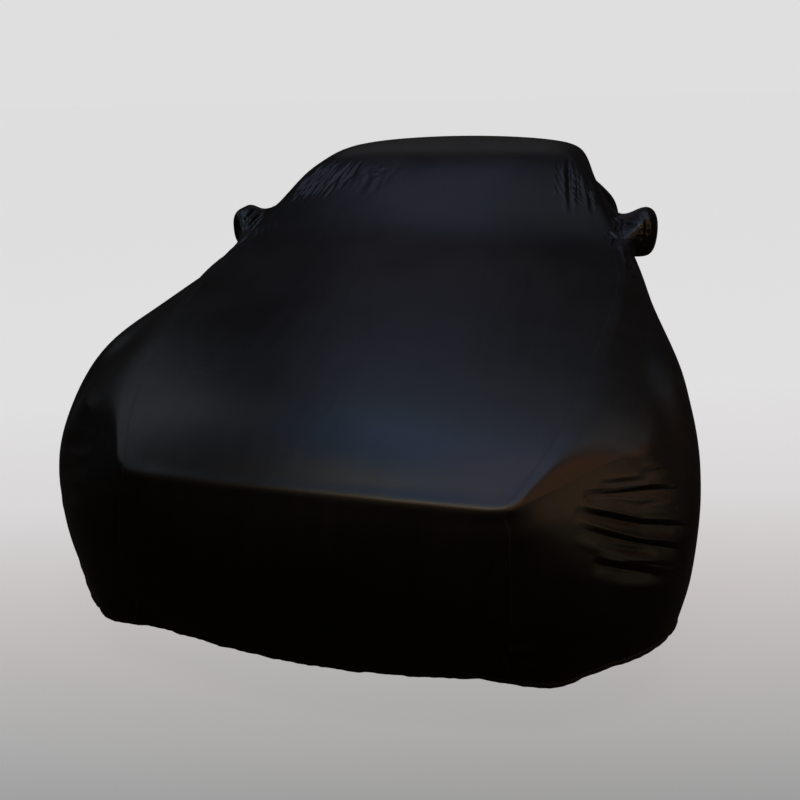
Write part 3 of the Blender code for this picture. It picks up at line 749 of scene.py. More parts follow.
def between_rows(rows, at):
    """Values at places between the rows of a grid, blended from the two rows beside each."""
    low = np.minimum(np.floor(at).astype(int), len(rows) - 2)
    part = (at - low)[:, None, None]
    return rows[low] * (1 - part) + rows[low + 1] * part


def centre_grid(values):
    """Values of the fine form on the centre panel's rows and columns, from the right seam to the
    left one."""
    rows = []
    for index, station in enumerate(STATIONS[:-1]):
        last = index == len(STATIONS) - 2
        along = STEPS * np.linspace(0.0, 1.0, station.rows + 1)[:None if last else -1]
        halves = []
        for side in (-1, 1):
            lines = between_rows(values[GRIDS[CENTRE_FACES[side, index]]], along)
            halves.append(between_rows(lines.swapaxes(0, 1), COLUMNS).swapaxes(0, 1))
        rows.append(np.concatenate([halves[0][:, :0:-1], halves[1]], axis=1))
    return np.concatenate(rows, axis=0)


def grid_faces(number):
    """The faces between the rows and columns of a grid of points' numbers."""
    return np.stack([number[:-1, :-1], number[:-1, 1:], number[1:, 1:], number[1:, :-1]],
                    axis=-1).reshape(-1, 4)


# %% Making a panel
def shift_to_model(points):
    return points - np.array(ORIGIN)


def new_mesh_object(name, points, faces):
    mesh = bpy.data.meshes.new(name)
    mesh.from_pydata(shift_to_model(points).tolist(), [], faces)
    mesh.validate()
    mesh.shade_smooth()
    piece = bpy.data.objects.new(name, mesh)
    bpy.context.scene.collection.objects.link(piece)
    return piece


SEAM_SETBACK = 0.0014    # how far a panel's edge stays from the line it is sewn along


def set_back(points, faces, others=()):
    """Draws the free edges of a panel in a little, so that neighbours stay apart below the seam."""
    edges = [faces[:, [k, (k + 1) % 4]] for k in range(4)]
    centres = [points[faces].mean(axis=1)] * 4
    for ring in others:
        edges.append(np.stack([ring, np.roll(ring, -1)], axis=1))
        centres.append(np.repeat(points[ring].mean(axis=0)[None], len(ring), axis=0))
    centres = np.concatenate(centres)
    pairs, first, counts = np.unique(np.sort(np.concatenate(edges), axis=1), axis=0,
                                     return_index=True, return_counts=True)
    free = counts == 1
    a, b = pairs[free].T
    middle = (points[a] + points[b]) / 2.0
    inwards = centres[first[free]] - middle
    tangent = unit(points[b] - points[a])
    inwards = unit(inwards - tangent * (inwards * tangent).sum(1, keepdims=True))
    total = np.zeros_like(points)
    np.add.at(total, a, inwards)
    np.add.at(total, b, inwards)
    edge_points = np.unique(np.r_[a, b])
    points[edge_points] += unit(total[edge_points]) * SEAM_SETBACK


def thicken(piece):
    """Cloth has an inner face too: it lies under the outer one by the thickness of the cloth.  Its
    free edges are kept sharp, so that the cloth isn't shaded round them."""
    mesh = piece.data
    sides = np.empty(len(mesh.loops), dtype=np.int64)
    mesh.loops.foreach_get("edge_index", sides)
    free = np.bincount(sides, minlength=len(mesh.edges)) == 1
    mesh.attributes.new("sharp_edge", "BOOLEAN", "EDGE").data.foreach_set("value", free)
    cloth = piece.modifiers.new("cloth", "SOLIDIFY")
    cloth.thickness = CLOTH
    cloth.offset = -1.0


def add_cloth_map(piece, across, along):
    """The weave follows the cloth through a map in metres, across and along the panel."""
    layer = piece.data.uv_layers.new(name="cloth")
    at = np.empty(len(piece.data.loops), dtype=np.int64)
    piece.data.loops.foreach_get("vertex_index", at)
    layer.uv.foreach_set("vector", np.stack([across[at], along[at]], axis=1).ravel())


# %% The centre panel
def centre_panel():
    grid = centre_grid(fine.points)
    row_count, column_count = grid.shape[:2]
    middle = column_count // 2
    across = np.cumsum(np.linalg.norm(np.diff(grid, axis=1), axis=2), axis=1)
    across = np.concatenate([np.zeros((row_count, 1)), across], axis=1)
    across -= across[:, middle, None]
    along = np.r_[0.0, np.cumsum(np.linalg.norm(np.diff(grid[:, middle], axis=0), axis=1))]
    faces = grid_faces(np.arange(row_count * column_count).reshape(row_count, column_count))
    points = grid.reshape(-1, 3)
    gather(points, unit(centre_grid(fine_normals).reshape(-1, 3)))
    set_back(points, faces)
    piece = new_mesh_object("centre_panel_cloth", points, faces.tolist())
    add_cloth_map(piece, across.ravel(), np.repeat(along, column_count))
    thicken(piece)
    print("centre panel:", row_count, "rows,", column_count, "columns, length", round(along[-1], 3))
    return piece


centre_piece = centre_panel()

# %% Finer cloth in crumpled faces of the cage
def cage_numbers(form):
    """For each face of a form, the number of the cage's face that it came from."""
    return np.floor(form.places[::4, 0] / 2.0).astype(int)


def same_points(form, finer):
    """For each point of a form, the number of the same point in a finer form, by its place."""
    place_of = {}
    for at, (u, v) in zip(finer.faces.ravel().tolist(), np.round(finer.places, 6).tolist()):
        place_of[u, v] = at
    numbers = np.zeros(len(form.points), dtype=np.int64)
    for at, (u, v) in zip(form.faces.ravel().tolist(), np.round(form.places, 6).tolist()):
        numbers[at] = place_of[u, v]
    return numbers


FINE_OF_COARSE = same_points(coarse, fine)
COARSE_NUMBERS, FINE_NUMBERS = cage_numbers(coarse), cage_numbers(fine)
print("points that both forms have:", len(FINE_OF_COARSE))


def panel_rings(panel, crumpled):
    """A panel's faces, as points of the fine form: coarse ones, but fine ones in the crumpled faces
    of the cage.  A coarse face beside fine ones takes their points into its edge, so none gapes."""
    mine = coarse.panels == panel
    is_crumpled = np.isin(COARSE_NUMBERS, crumpled)
    plain = FINE_OF_COARSE[coarse.faces[mine & ~is_crumpled]]
    dense = fine.faces[np.isin(FINE_NUMBERS, crumpled)]
    edges = np.sort(np.concatenate([dense[:, [k, (k + 1) % 4]] for k in range(4)]), axis=1)
    pairs, counts = np.unique(edges, axis=0, return_counts=True)
    beside = {}
    for a, b in pairs[counts == 1].tolist():
        beside.setdefault(a, set()).add(b)
        beside.setdefault(b, set()).add(a)

    def between(start, end):
        for onwards in beside.get(start, ()):
            run = [start, onwards]
            while run[-1] != end and len(run) <= 2 ** (FINE - COARSE):
                ahead = [v for v in beside[run[-1]] if v not in run]
                if not ahead:
                    break
                run.append(ahead[0])
            if run[-1] == end:
                return run[1:-1]
        return []

    quads, others = [dense], []
    keep = np.ones(len(plain), dtype=bool)
    for row, ring in enumerate(plain.tolist()):
        if not any(v in beside for v in ring):
            continue
        longer = []
        for a, b in zip(ring, ring[1:] + ring[:1]):
            longer += [a, *between(a, b)]
        if len(longer) > 4:
            keep[row] = False
            others.append(np.array(longer))
    quads.append(plain[keep])
    return np.concatenate(quads), others


# %% The side panels
CRUMPLED = {"left": [("bonnet_edge", "haunch"), ("bonnet_edge", "flank"), ("bonnet_nose", "crest"),
                     ("bonnet_nose", "haunch"), ("bonnet_nose", "flank"), ("mirror_front", "upper"),
                     ("bonnet_rear", "crest")],
            "right": [("bonnet_nose", "crest"), ("bonnet_nose", "haunch"), ("mirror_front", "upper"),
                      ("bonnet_edge", "haunch")]}
SIDE_SLOPE = 0.8         # how fast the map of a side panel runs up and in


def side_panel(panel, word):
    crumpled = [SIDE_FACES[word, NUMBER[station], lower] for station, lower in CRUMPLED[word]]
    quads, others = panel_rings(panel, crumpled)
    used, renumbered = np.unique(np.concatenate([quads.ravel(), *others]), return_inverse=True)
    quads = renumbered[:quads.size].reshape(-1, 4)
    others = np.split(renumbered[quads.size:], np.cumsum([len(ring) for ring in others])[:-1])
    points = fine.points[used].copy()
    gather(points, fine_normals[used])
    set_back(points, quads, others)
    piece = new_mesh_object(f"side_panel_{word}_cloth", points,
                            quads.tolist() + [ring.tolist() for ring in others])
    add_cloth_map(piece, points[:, 1], SIDE_SLOPE * (points[:, 2] - np.abs(points[:, 0])))
    thicken(piece)
    print("side panel", word + ":", len(quads), "faces and", len(others), "that join coarse to fine")
    return piece


side_pieces = {word: side_panel(panel, word) for panel, word in ((LEFT, "left"), (RIGHT, "right"))}

# %% The mirror pockets
ROWS_SKIPPED = 4         # the walls of a pocket keep every fourth row, its end keeps them all
POCKET_SLOPE = 0.5       # how fast the map of a pocket runs out along its walls


def mirror_pocket(side, word):
    *walls, end = POCKET_FACES[side]
    quads = np.concatenate([*(grid_faces(GRIDS[number][::ROWS_SKIPPED]) for number in walls),
                            grid_faces(GRIDS[end])])
    used, renumbered = np.unique(quads[:, ::side], return_inverse=True)
    faces = renumbered.reshape(-1, 4)
    points = fine.points[used].copy()
    set_back(points, faces)
    piece = new_mesh_object(f"mirror_pocket_{word}_cloth", points, faces.tolist())
    add_cloth_map(piece, points[:, 1] + POCKET_SLOPE * np.abs(points[:, 0]), points[:, 2])
    thicken(piece)
    print("pocket", word + ":", len(faces), "faces")
    return piece


pocket_pieces = {word: mirror_pocket(side, word) for side, word in ((1, "left"), (-1, "right"))}

# %% [markdown]
# ## Black satin knit
#
# Satin is dark and soft at once: it drinks most of the light that meets it squarely and throws back
# a cool sheen where it turns away.  A mirror-like black would look wet and a plain dark grey would
# look like rubber.  So the material is almost black, with a broad weak highlight, a little cool
# sheen, and a very fine rib from the knitting.  Its colour drifts slightly where the knit is
# stretched, and faint streaks run along the pull of the cloth.

# %% A small helper for node trees
def connect(tree, kind, inputs=None, **settings):
    """Adds a node, with its inputs set to a value or linked to a socket."""
    node = tree.nodes.new(kind)
    for name, value in settings.items():
        setattr(node, name, value)
    for name, value in (inputs or {}).items():
        if isinstance(value, bpy.types.NodeSocket):
            tree.links.new(value, node.inputs[name])
        else:
            node.inputs[name].default_value = value
    return node


def ramp(tree, value, stops):
    node = connect(tree, "ShaderNodeValToRGB", {"Fac": value})
    elements = node.color_ramp.elements
    while len(elements) < len(stops):
        elements.new(0.5)
    for element, (position, colour) in zip(elements, stops):
        element.position, element.color = position, colour
    return node.outputs["Color"]


# %% The cloth
KNIT_DARK = (0.0024, 0.0024, 0.0025, 1.0)
KNIT_LIGHT = (0.0046, 0.0046, 0.0048, 1.0)
RIB, LOOP = 0.0022, 0.0033               # distances between two ribs, and two loops of a rib
WAVE = 0.314             # the length that a wave texture repeats after, at a scale of one
SHEEN_COLOUR = (0.50, 0.62, 1.0, 1.0)
SMOOTHER, ROUGHER = 0.03, 0.05           # how much the roughness drifts either way


def satin_knit(name, dark=KNIT_DARK, light=KNIT_LIGHT, roughness=0.35, sheen=0.02):
    material = bpy.data.materials.new(name)
    material.use_nodes = True
    tree = material.node_tree
    tree.nodes.clear()
    place = connect(tree, "ShaderNodeTexCoord").outputs["Object"]
    cloth_map = connect(tree, "ShaderNodeUVMap", uv_map="cloth").outputs["UV"]
    # Broad drifts of tone, and streaks that follow the length of the cover.
    drift = connect(tree, "ShaderNodeTexNoise", {"Vector": place, "Scale": 2.3, "Detail": 4.0})
    stretched = connect(tree, "ShaderNodeMapping", {"Vector": cloth_map, "Scale": (26.0, 3.5, 1.0)})
    streak = connect(tree, "ShaderNodeTexNoise",
                     {"Vector": stretched.outputs["Vector"], "Scale": 1.0, "Detail": 3.0})
    tone = connect(tree, "ShaderNodeMath", {0: drift.outputs["Fac"], 1: streak.outputs["Fac"]},
                   operation="MULTIPLY")
    colour = ramp(tree, tone.outputs["Value"], [(0.12, dark), (0.42, light)])
    # The knit: ribs along the cloth, broken into stitches across it.
    ribs, loops = (connect(tree, "ShaderNodeTexWave",
                           {"Vector": cloth_map, "Scale": WAVE / pitch, "Distortion": 0.0},
                           bands_direction=direction).outputs["Fac"]
                   for pitch, direction in ((RIB, "X"), (LOOP, "Y")))
    knit = connect(tree, "ShaderNodeMath", {0: ribs, 1: loops}, operation="MULTIPLY")
    ripple = connect(tree, "ShaderNodeTexNoise", {"Vector": place, "Scale": 9.0, "Detail": 3.0,
                                                  "Roughness": 0.45})
    bump = connect(tree, "ShaderNodeBump", {"Strength": 0.10, "Distance": 0.0003,
                                            "Height": knit.outputs["Value"]})
    for height, strength, distance in ((ripple, 0.22, 0.006), (streak, 0.16, 0.003)):
        bump = connect(tree, "ShaderNodeBump",
                       {"Strength": strength, "Distance": distance, "Height": height.outputs["Fac"],
                        "Normal": bump.outputs["Normal"]})
    dull = connect(tree, "ShaderNodeMapRange",
                   {"Value": drift.outputs["Fac"], "From Min": 0.3, "From Max": 0.7,
                    "To Min": roughness - SMOOTHER, "To Max": roughness + ROUGHER})
    shader = connect(tree, "ShaderNodeBsdfPrincipled",
                     {"Base Color": colour, "Roughness": dull.outputs["Result"],
                      "Specular IOR Level": 0.22, "Sheen Weight": sheen, "Sheen Roughness": 0.35,
                      "Sheen Tint": SHEEN_COLOUR, "Normal": bump.outputs["Normal"]})
    output = connect(tree, "ShaderNodeOutputMaterial")
    tree.links.new(shader.outputs["BSDF"], output.inputs["Surface"])
    return material


SATIN = satin_knit("black_satin_knit")
BAND = satin_knit("black_elastic_band", dark=(0.006, 0.006, 0.007, 1.0),
                  light=(0.012, 0.012, 0.014, 1.0), roughness=0.55, sheen=0.03)
for piece in [centre_piece, *side_pieces.values(), *pocket_pieces.values()]:
    piece.data.materials.append(SATIN)
print("cloth materials:", SATIN.name, BAND.name)

# %% The thread
def polyester_thread(name):
    material = bpy.data.materials.new(name)
    material.use_nodes = True
    tree = material.node_tree
    shader = tree.nodes["Principled BSDF"]
    place = connect(tree, "ShaderNodeTexCoord").outputs["Object"]
    twist = connect(tree, "ShaderNodeTexWave", {"Vector": place, "Scale": 700.0, "Distortion": 1.0})
    colour = ramp(tree, twist.outputs["Fac"], [(0.2, (0.010, 0.010, 0.012, 1.0)),
                                               (0.8, (0.026, 0.026, 0.030, 1.0))])
    tree.links.new(colour, shader.inputs["Base Color"])
    bump = connect(tree, "ShaderNodeBump", {"Strength": 0.3, "Distance": 0.0002,
                                            "Height": twist.outputs["Fac"]})
    tree.links.new(bump.outputs["Normal"], shader.inputs["Normal"])
    shader.inputs["Roughness"].default_value = 0.5
    shader.inputs["Specular IOR Level"].default_value = 0.2
    return material


THREAD = polyester_thread("black_polyester_thread")
print("thread material:", THREAD.name)

# %% [markdown]
# ## Seams
#
# The panels are joined with a felled seam: their edges are folded over each other and sewn down
# twice, which leaves a low flat rib.  It could be a bump in the material, but its rib catches the
# light along the whole bonnet, so it is a strip of real geometry.  Its section is swept along the
# seam's path, and its two feet follow the two panels.

# %% Joining sections into a closed piece
KEPT_SHARP = math.radians(40.0)          # edges that bend more than this aren't shaded over


def outwards(piece):
    """Turns the faces of a closed piece outwards, and shades them smooth between sharp edges."""
    shell = bmesh.new()
    shell.from_mesh(piece.data)
    bmesh.ops.recalc_face_normals(shell, faces=shell.faces)
    if shell.calc_volume(signed=True) < 0.0:
        bmesh.ops.reverse_faces(shell, faces=shell.faces)
    shell.to_mesh(piece.data)
    shell.free()
    piece.data.shade_smooth()
    piece.data.set_sharp_from_angle(angle=KEPT_SHARP)


def tube(name, corners, closed, run, girth_step, material):
    """Joins sections along a path, given as one row of points for each corner of the section."""
    points = np.stack(corners, axis=1)
    count, around = points.shape[:2]
    number = np.arange(count * around).reshape(count, around)
    here, onwards = number, np.roll(number, -1, axis=0)
    if not closed:
        here, onwards = here[:-1], onwards[:-1]
    faces = np.stack([here, np.roll(here, -1, axis=1), np.roll(onwards, -1, axis=1), onwards],
                     axis=-1).reshape(-1, 4).tolist()
    if not closed:
        faces += [number[0, ::-1].tolist(), number[-1].tolist()]
    piece = new_mesh_object(name, points.reshape(-1, 3), faces)
    outwards(piece)
    add_cloth_map(piece, np.tile(np.arange(around) * girth_step, count), np.repeat(run, around))
    piece.data.materials.append(material)
    return piece


# %% The felled seams
SEAM_HALF, SEAM_RISE, SEAM_ROOT = 0.0027, 0.0002, 0.0012
TOP_HALF, ROOT_HALF = SEAM_HALF * 0.95, SEAM_HALF * 0.7
# The section's corners: how far into the first panel, into the second one, and out of the cloth.
SEAM_SECTION = [(SEAM_HALF, 0.0, 0.0), (TOP_HALF, 0.0, SEAM_RISE), (0.0, 0.0, SEAM_RISE),
                (0.0, TOP_HALF, SEAM_RISE), (0.0, SEAM_HALF, 0.0), (0.0, ROOT_HALF, -SEAM_ROOT),
                (ROOT_HALF, 0.0, -SEAM_ROOT)]
SEAM_STEP, POCKET_STEP = 0.010, 0.006
SEAM_GIRTH = 0.002       # how far the cloth's map runs from one corner of the section to the next
SEAM_LINES = {word: evenly(path, SEAM_STEP) for word, path in SEAM_PATHS.items()}
MOUTH_LINES = {word: evenly(path, POCKET_STEP) for word, path in POCKET_PATHS.items()}


def felled_seam(name, path):
    corners = [path.points + first * path.first + second * path.second + out * path.normals
               for first, second, out in SEAM_SECTION]
    run = np.arange(len(path.points)) * float(np.linalg.norm(path.points[1] - path.points[0]))
    return tube(name, corners, path.closed, run, SEAM_GIRTH, SATIN)


seam_strips = {word: [felled_seam(f"felled_seam_{word}", SEAM_LINES[word]),
                      felled_seam(f"pocket_seam_{word}", MOUTH_LINES[word])]
               for word in ("left", "right")}
print("seam strips:", sum(len(strips) for strips in seam_strips.values()))

# %% [markdown]
# ## The hem
#
# The hem is a channel: the cloth is turned up over a flat elastic band and sewn along its top.  The
# band draws the channel into small gathers.  A swept section does this too, but here the section
# itself changes along the way: its belly swells and shrinks with the gathers.

# %% The gathered channel
CHANNEL_HEIGHT, CHANNEL_BELLY = 0.020, 0.0032
CHANNEL_SWELL, CHANNEL_LEAN, CHANNEL_GIRTH = 0.22, 0.0006, 0.004
# The section's corners: how far up, in heights, and how far out, in bellies.
CHANNEL_SECTION = [(1.00, 0.25), (0.93, 0.55), (0.75, 0.95), (0.45, 1.10), (0.18, 1.00), (0.02, 0.55),
                   (-0.02, 0.0), (0.02, -0.85), (0.20, -1.15), (0.50, -1.20), (0.80, -1.10),
                   (0.97, -0.80)]


def gathered_channel(name, line, run):
    swell = 1.0 + CHANNEL_SWELL * waves(run, lengths=(0.026, 0.037, 0.021), phases=(0.0, 1.3, 2.9))
    lean = CHANNEL_LEAN * waves(run, lengths=(0.033, 0.047), phases=(0.8, 2.2))
    centre_line = line.points + line.normals * (hem_gather(run) * GATHER_DEPTH - CLOTH / 2)[:, None]
    corners = [centre_line + line.first * (up * CHANNEL_HEIGHT)
               + line.normals * (out * CHANNEL_BELLY * swell + lean)[:, None]
               for up, out in CHANNEL_SECTION]
    return tube(name, corners, True, run, CHANNEL_GIRTH, BAND)


hem_channel = gathered_channel("hem_channel", HEM_LINE, HEM_RUN)
print("hem channel:", len(hem_channel.data.polygons), "faces")

# %% [markdown]
# ## Stitches
#
# Nearly forty metres of sewing are some six thousand stitches, too many to place by hand.  Geometry
# Nodes does it: a curve along the row of stitches is divided into even steps, a small grain of
# thread is set at each step, turned along the curve, and the grains are made real.  Each grain has
# only twenty faces, because there are so many of them.

# %% The stitching tree
def stitching_tree():
    tree = bpy.data.node_groups.new("row_of_stitches", "GeometryNodeTree")
    face = tree.interface
    face.new_socket("Geometry", in_out="INPUT", socket_type="NodeSocketGeometry")
    for name in ("Stitch Pitch", "Stitch Length", "Thread Width"):
        face.new_socket(name, in_out="INPUT", socket_type="NodeSocketFloat")
    face.new_socket("Thread", in_out="INPUT", socket_type="NodeSocketMaterial")
    face.new_socket("Geometry", in_out="OUTPUT", socket_type="NodeSocketGeometry")
    given = tree.nodes.new("NodeGroupInput").outputs
    steps = connect(tree, "GeometryNodeCurveToPoints", {"Curve": given["Geometry"],
                                                        "Length": given["Stitch Pitch"]}, mode="LENGTH")
    grain = connect(tree, "GeometryNodeMeshIcoSphere", {"Radius": 0.5, "Subdivisions": 1})
    size = connect(tree, "ShaderNodeCombineXYZ", {"X": given["Thread Width"], "Y": given["Thread Width"],
                                                  "Z": given["Stitch Length"]})
    turn = connect(tree, "FunctionNodeAlignRotationToVector", {"Vector": steps.outputs["Tangent"]},
                   axis="Z")
    placed = connect(tree, "GeometryNodeInstanceOnPoints",
                     {"Points": steps.outputs["Points"], "Instance": grain.outputs["Mesh"],
                      "Rotation": turn.outputs["Rotation"], "Scale": size.outputs["Vector"]})
    real = connect(tree, "GeometryNodeRealizeInstances", {"Geometry": placed.outputs["Instances"]})
    finished = connect(tree, "GeometryNodeSetMaterial", {"Geometry": real.outputs["Geometry"],
                                                         "Material": given["Thread"]})
    out = tree.nodes.new("NodeGroupOutput")
    tree.links.new(finished.outputs["Geometry"], out.inputs["Geometry"])
    return tree


STITCHING = stitching_tree()
SOCKETS = {item.name: item.identifier for item in STITCHING.interface.items_tree
           if item.in_out == "INPUT"}
print("stitching tree:", len(STITCHING.nodes), "nodes, inputs:", ", ".join(SOCKETS))


# %% Sewing rows of stitches
FACES_OF_A_STITCH = 20


def sew(name, rows, pitch, length, width):
    """Sews rows, each an array of points and whether it closes, and returns one plain mesh."""
    line = bpy.data.curves.new(name + "_line", "CURVE")
    line.dimensions = "3D"
    for points, closed in rows:
        spline = line.splines.new("POLY")
        spline.points.add(len(points) - 1)
        spline.points.foreach_set("co", np.c_[shift_to_model(points), np.ones(len(points))].ravel())
        spline.use_cyclic_u = closed
    holder = bpy.data.objects.new(name + "_line", line)
    bpy.context.scene.collection.objects.link(holder)
    nodes = holder.modifiers.new("stitches", "NODES")
    nodes.node_group = STITCHING
    nodes[SOCKETS["Stitch Pitch"]] = pitch
    nodes[SOCKETS["Stitch Length"]] = length
    nodes[SOCKETS["Thread Width"]] = width
    nodes[SOCKETS["Thread"]] = THREAD
    mesh = bpy.data.meshes.new_from_object(
        holder.evaluated_get(bpy.context.evaluated_depsgraph_get()))
    bpy.data.objects.remove(holder)
    mesh.name = name
    mesh.shade_smooth()
    piece = bpy.data.objects.new(name, mesh)
    bpy.context.scene.collection.objects.link(piece)
    print(name + ":", len(mesh.polygons) // FACES_OF_A_STITCH, "stitches")
    return piece


# %% The rows of stitches
ROW_INSET, ROW_RISE = SEAM_HALF * 0.62, SEAM_RISE * 0.95
HEM_ROW_UP, HEM_ROW_OUT = CHANNEL_HEIGHT * 0.86, CHANNEL_BELLY * 0.72
SEAM_STITCH = (0.0065, 0.0046, 0.0011)   # pitch, length and width of a stitch
HEM_STITCH = (0.0060, 0.0042, 0.0011)


def seam_rows(path):
    """Two rows of stitches, one in each foot of the seam."""
    return [(path.points + foot * ROW_INSET + path.normals * ROW_RISE, path.closed)
            for foot in (path.first, path.second)]


def hem_row():
    """One row of stitches along the top of the channel, where it lies on the panels."""
    out = hem_gather(HEM_RUN) * GATHER_DEPTH + HEM_ROW_OUT
    return (HEM_LINE.points + HEM_LINE.first * HEM_ROW_UP + HEM_LINE.normals * out[:, None],
            HEM_LINE.closed)


stitches = {word: sew(f"seam_stitches_{word}",
                      seam_rows(SEAM_LINES[word]) + seam_rows(MOUTH_LINES[word]), *SEAM_STITCH)
            for word in ("left", "right")}
stitches["hem"] = sew("hem_stitches", [hem_row()], *HEM_STITCH)

# %% [markdown]
# ## Each piece in its place
#
# The imported model's nodes stay for collisions, and each is replaced by its cloth.  Every piece rides
# on the model's one body.  Each panel is listed with the size that it was cut to: the width and length
# of the cloth lying flat.

# %% Replacing and riding
CENTRE_FLAT, SIDE_FLAT, POCKET_FLAT = (1.58, 6.47), (1.36, 4.62), (0.36, 0.42)
NODES = {"centre_panel": (centre_piece, CENTRE_FLAT, [stitches["hem"], hem_channel],
                          ["side_panel_left", "side_panel_right"])}
for word in ("left", "right"):
    NODES["side_panel_" + word] = (side_pieces[word], SIDE_FLAT,
                                   [*seam_strips[word], stitches[word]], ["centre_panel"])
for word in ("left", "right"):
    NODES["mirror_pocket_" + word] = (pocket_pieces[word], POCKET_FLAT, [], ["side_panel_" + word])


for node, (piece, flat, sewn_on, beside) in NODES.items():
    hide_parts(node)
    for each in [piece, *sewn_on]:
        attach(each, "root")

# %% [markdown]
# ## The studio
#
# Black cloth is drawn by what it mirrors, so each soft light is placed where one part of the cloth
# mirrors it: cool ones above the bonnet, the roof and the windscreen, a narrow one and two warm ones
# in front that draw the bonnet's edge, a weak one beside each wing, and three warm ones on the right
# for the folded corner.  Their strengths were found by lighting the cover with one light at a time.
# The pale floor glows, and painted shade makes it darker towards the front.  It runs out to an equally pale
# horizon.  Both are kept out of the cloth's reflections, as black screens would do in a studio, so the
# nose and the sides stay nearly black.

# %% The pale floor
FLOOR_Z = -ORIGIN[2]
FLOOR_REACH = 60.0
CAMERA_TURN = 13.38      # in degrees, to the left of straight ahead
# Painted light on the floor: its glow runs through these tones between these two places along the view,
# darker towards the front as painted shade.
NEAREST, FARTHEST = -2.9, 0.1            # where the floor's tones begin and end, along the view
PALE = (0.745, 0.736, 0.740, 1.0)
FLOOR_GLOW_AND_SHADE = [(0.0, (0.300, 0.305, 0.308, 1.0)), (0.07, (0.385, 0.385, 0.385, 1.0)),
               (0.25, (0.540, 0.515, 0.508, 1.0)), (0.45, (0.680, 0.665, 0.672, 1.0)), (0.80, PALE)]


def floor_glow_painted_shade(name):
    """Pale grey glow with painted shade: the floor's own glow stands in for the light on it, and it dims
    towards the front, where that light would fall off.  A little of its tone comes from light that falls
    on it, so that the cover's shadow lies on it softly."""
    material = bpy.data.materials.new(name)
    material.use_nodes = True
    tree = material.node_tree
    shader = tree.nodes["Principled BSDF"]
    place = connect(tree, "ShaderNodeTexCoord").outputs["Object"]
    turned = connect(tree, "ShaderNodeMapping", {"Vector": place}, vector_type="POINT")
    turned.inputs["Rotation"].default_value = (0.0, 0.0, -math.radians(CAMERA_TURN))
    depth = connect(tree, "ShaderNodeSeparateXYZ", {"Vector": turned.outputs["Vector"]}).outputs["Y"]
    share = connect(tree, "ShaderNodeMapRange",
                    {"Value": depth, "From Min": NEAREST, "From Max": FARTHEST})
    colour = ramp(tree, share.outputs["Result"], FLOOR_GLOW_AND_SHADE)
    # The floor glows with these tones: painted light, dimmer at the front as painted shade.
    tree.links.new(colour, shader.inputs["Emission Color"])
    shader.inputs["Emission Strength"].default_value = 0.99
    shader.inputs["Base Color"].default_value = (0.06, 0.06, 0.06, 1.0)
    shader.inputs["Roughness"].default_value = 1.0
    shader.inputs["Specular IOR Level"].default_value = 0.0
    return material


def pale_floor():
    mesh = bpy.data.meshes.new("studio_floor")
    mesh.from_pydata([(x * FLOOR_REACH, y * FLOOR_REACH, FLOOR_Z)
                      for x, y in ((-1, -1), (1, -1), (1, 1), (-1, 1))], [], [(0, 1, 2, 3)])
    mesh.materials.append(floor_glow_painted_shade("floor_glow_painted_shade"))
    floor = bpy.data.objects.new("studio_floor", mesh)
    bpy.context.scene.collection.objects.link(floor)
    floor.visible_glossy = False
    floor.visible_diffuse = False
    return floor


floor = pale_floor()
print("floor:", floor.name, "at", FLOOR_Z, "m, below the model's origin")

# %% Lights
Light = namedtuple("Light", "name place target size watts colour")


def soft_light(row):
    data = bpy.data.lights.new(row.name, "AREA")
    data.shape = "RECTANGLE"
    data.size, data.size_y = row.size
    data.energy = row.watts
    data.color = row.colour
    light = bpy.data.objects.new(row.name, data)
    light.location = row.place
    ahead = Vector(row.target) - Vector(row.place)
    light.rotation_euler = ahead.to_track_quat("-Z", "Y").to_euler()
    bpy.context.scene.collection.objects.link(light)


LIGHTS = [
    Light("over_bonnet", (0.3, -1.7, 3.2), (0.2, -2.2, -0.5), (3.2, 2.2), 50.3, (0.20, 0.50, 1.0)),
    Light("over_bonnet_right", (1.0, -2.0, 3.0), (0.35, -2.4, -0.5), (1.4, 1.2), 8.6, (1.0, 0.25, 0.08)),
    Light("over_edge", (0.3, -3.3, 3.4), (0.2, -2.4, -0.6), (2.6, 0.4), 42.8, (0.97, 1.0, 0.72)),
    Light("over_nose", (0.3, -3.9, 2.9), (0.2, -2.4, -0.6), (2.6, 0.6), 25.2, (1.0, 0.50, 0.22)),
    Light("edge_glow", (1.9, -3.4, 1.4), (0.5, -2.6, -0.6), (0.8, 0.5), 9.0, (1.0, 0.42, 0.14)),
    Light("over_roof", (0.0, 0.8, 4.6), (0.0, 0.0, 0.0), (4.0, 2.6), 32.9, (0.66, 0.78, 1.0)),
    Light("behind_windscreen", (-0.9, 1.6, 2.9), (0.0, -0.7, -0.1), (2.6, 0.6), 3.6, (0.58, 0.58, 1.0)),
    Light("far_behind", (-1.0, 6.0, 2.2), (0.0, -0.8, -0.2), (4.0, 0.8), 2.2, (1.0, 0.95, 1.0)),
    Light("near_wing", (2.2, -1.2, 2.1), (0.7, -2.35, -0.5), (1.4, 1.0), 4.6, (1.0, 1.0, 0.92)),
    Light("far_wing", (-3.8, -0.6, 2.8), (-0.8, -1.9, -0.4), (2.4, 1.6), 13.2, (0.74, 0.86, 1.0)),
    Light("corner_edge", (2.5, -2.15, 1.1), (0.7, -2.4, -0.6), (0.9, 0.25), 4.0, (1.0, 0.40, 0.20)),
    Light("corner_high", (2.9, -3.0, 0.75), (0.75, -2.45, -0.6), (1.3, 0.8), 4.9, (1.0, 0.58, 0.26)),
    Light("corner_low", (3.1, -3.15, -0.15), (0.75, -2.45, -0.65), (1.3, 1.9), 3.5, (1.0, 0.84, 0.58)),
]
for row in LIGHTS:
    soft_light(row)
print("lights:", len(LIGHTS), "watts:", round(sum(row.watts for row in LIGHTS)))

# %% The air of the studio
FILL_COLOUR, FILL_STRENGTH = (1.0, 0.74, 0.42, 1.0), 0.012


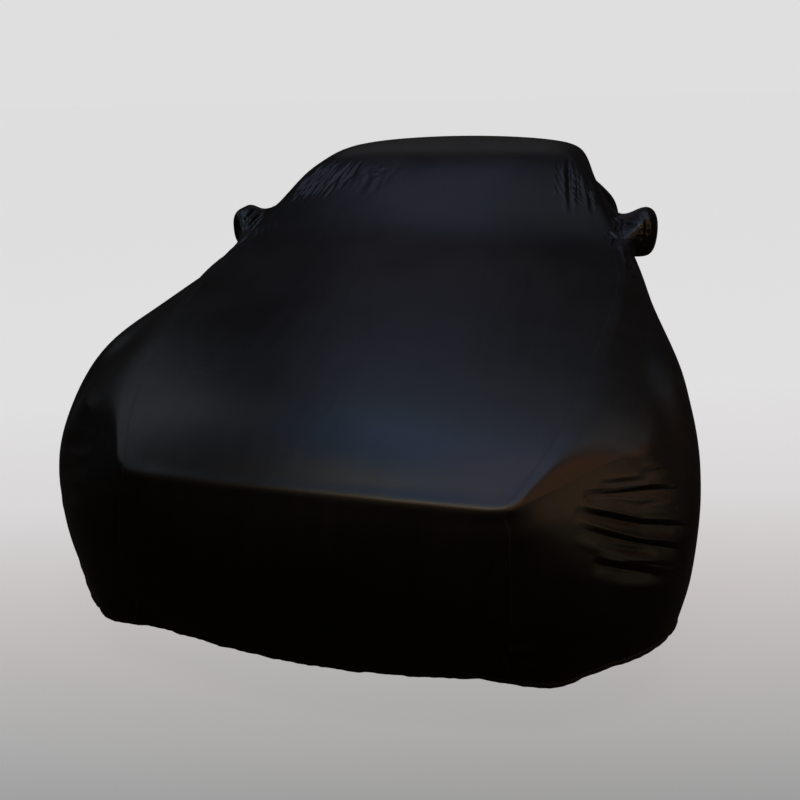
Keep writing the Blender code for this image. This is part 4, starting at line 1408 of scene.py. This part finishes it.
def studio_air():
    """The horizon is as pale as the floor to the camera, but only a faint warm fill to the cloth."""
    world = bpy.data.worlds.new("studio_air")
    world.use_nodes = True
    tree = world.node_tree
    fill = tree.nodes["Background"]
    fill.inputs["Color"].default_value = FILL_COLOUR
    fill.inputs["Strength"].default_value = FILL_STRENGTH
    pale = connect(tree, "ShaderNodeBackground", {"Color": PALE, "Strength": 1.0})
    seen = connect(tree, "ShaderNodeLightPath").outputs["Is Camera Ray"]
    mixed = connect(tree, "ShaderNodeMixShader", {"Fac": seen})
    tree.links.new(fill.outputs["Background"], mixed.inputs[1])
    tree.links.new(pale.outputs["Background"], mixed.inputs[2])
    tree.links.new(mixed.outputs["Shader"], tree.nodes["World Output"].inputs["Surface"])
    return world


bpy.context.scene.world = studio_air()
bpy.context.scene.view_settings.view_transform = "Standard"
print("air:", bpy.context.scene.world.name)

# %% [markdown]
# ## The camera
#
# The camera stands in front of the cover at eye height, a little to its left, and looks down on it
# from so close that the nose looms.  Its place, turn and lens were worked out from the outline of
# the cover.

# %% The camera
CAMERA_PLACE = (0.552, -3.389, 1.585)    # measured as the tables are
CAMERA_PITCH, CAMERA_ROLL = 25.55, -1.53    # in degrees
CAMERA_LENS = 30.1


def set_camera():
    turn, pitch, roll = (math.radians(v) for v in (CAMERA_TURN, CAMERA_PITCH, CAMERA_ROLL))
    ahead = Vector((-math.sin(turn) * math.cos(pitch), math.cos(turn) * math.cos(pitch),
                    -math.sin(pitch)))
    right = Vector((math.cos(turn), math.sin(turn), 0.0))
    above = right.cross(ahead)
    right, above = (right * math.cos(roll) + above * math.sin(roll),
                    above * math.cos(roll) - right * math.sin(roll))
    data = bpy.data.cameras.new("camera")
    data.sensor_width = 36.0
    data.lens = CAMERA_LENS
    data.clip_end = 200.0
    camera = bpy.data.objects.new("camera", data)
    bpy.context.scene.collection.objects.link(camera)
    axes = Matrix((right, above, -ahead)).transposed().to_4x4()
    camera.matrix_world = Matrix.Translation(Vector(CAMERA_PLACE) - Vector(ORIGIN)) @ axes
    bpy.context.scene.camera = camera
    return camera


camera = set_camera()
print("camera at", [round(v, 3) for v in camera.location])
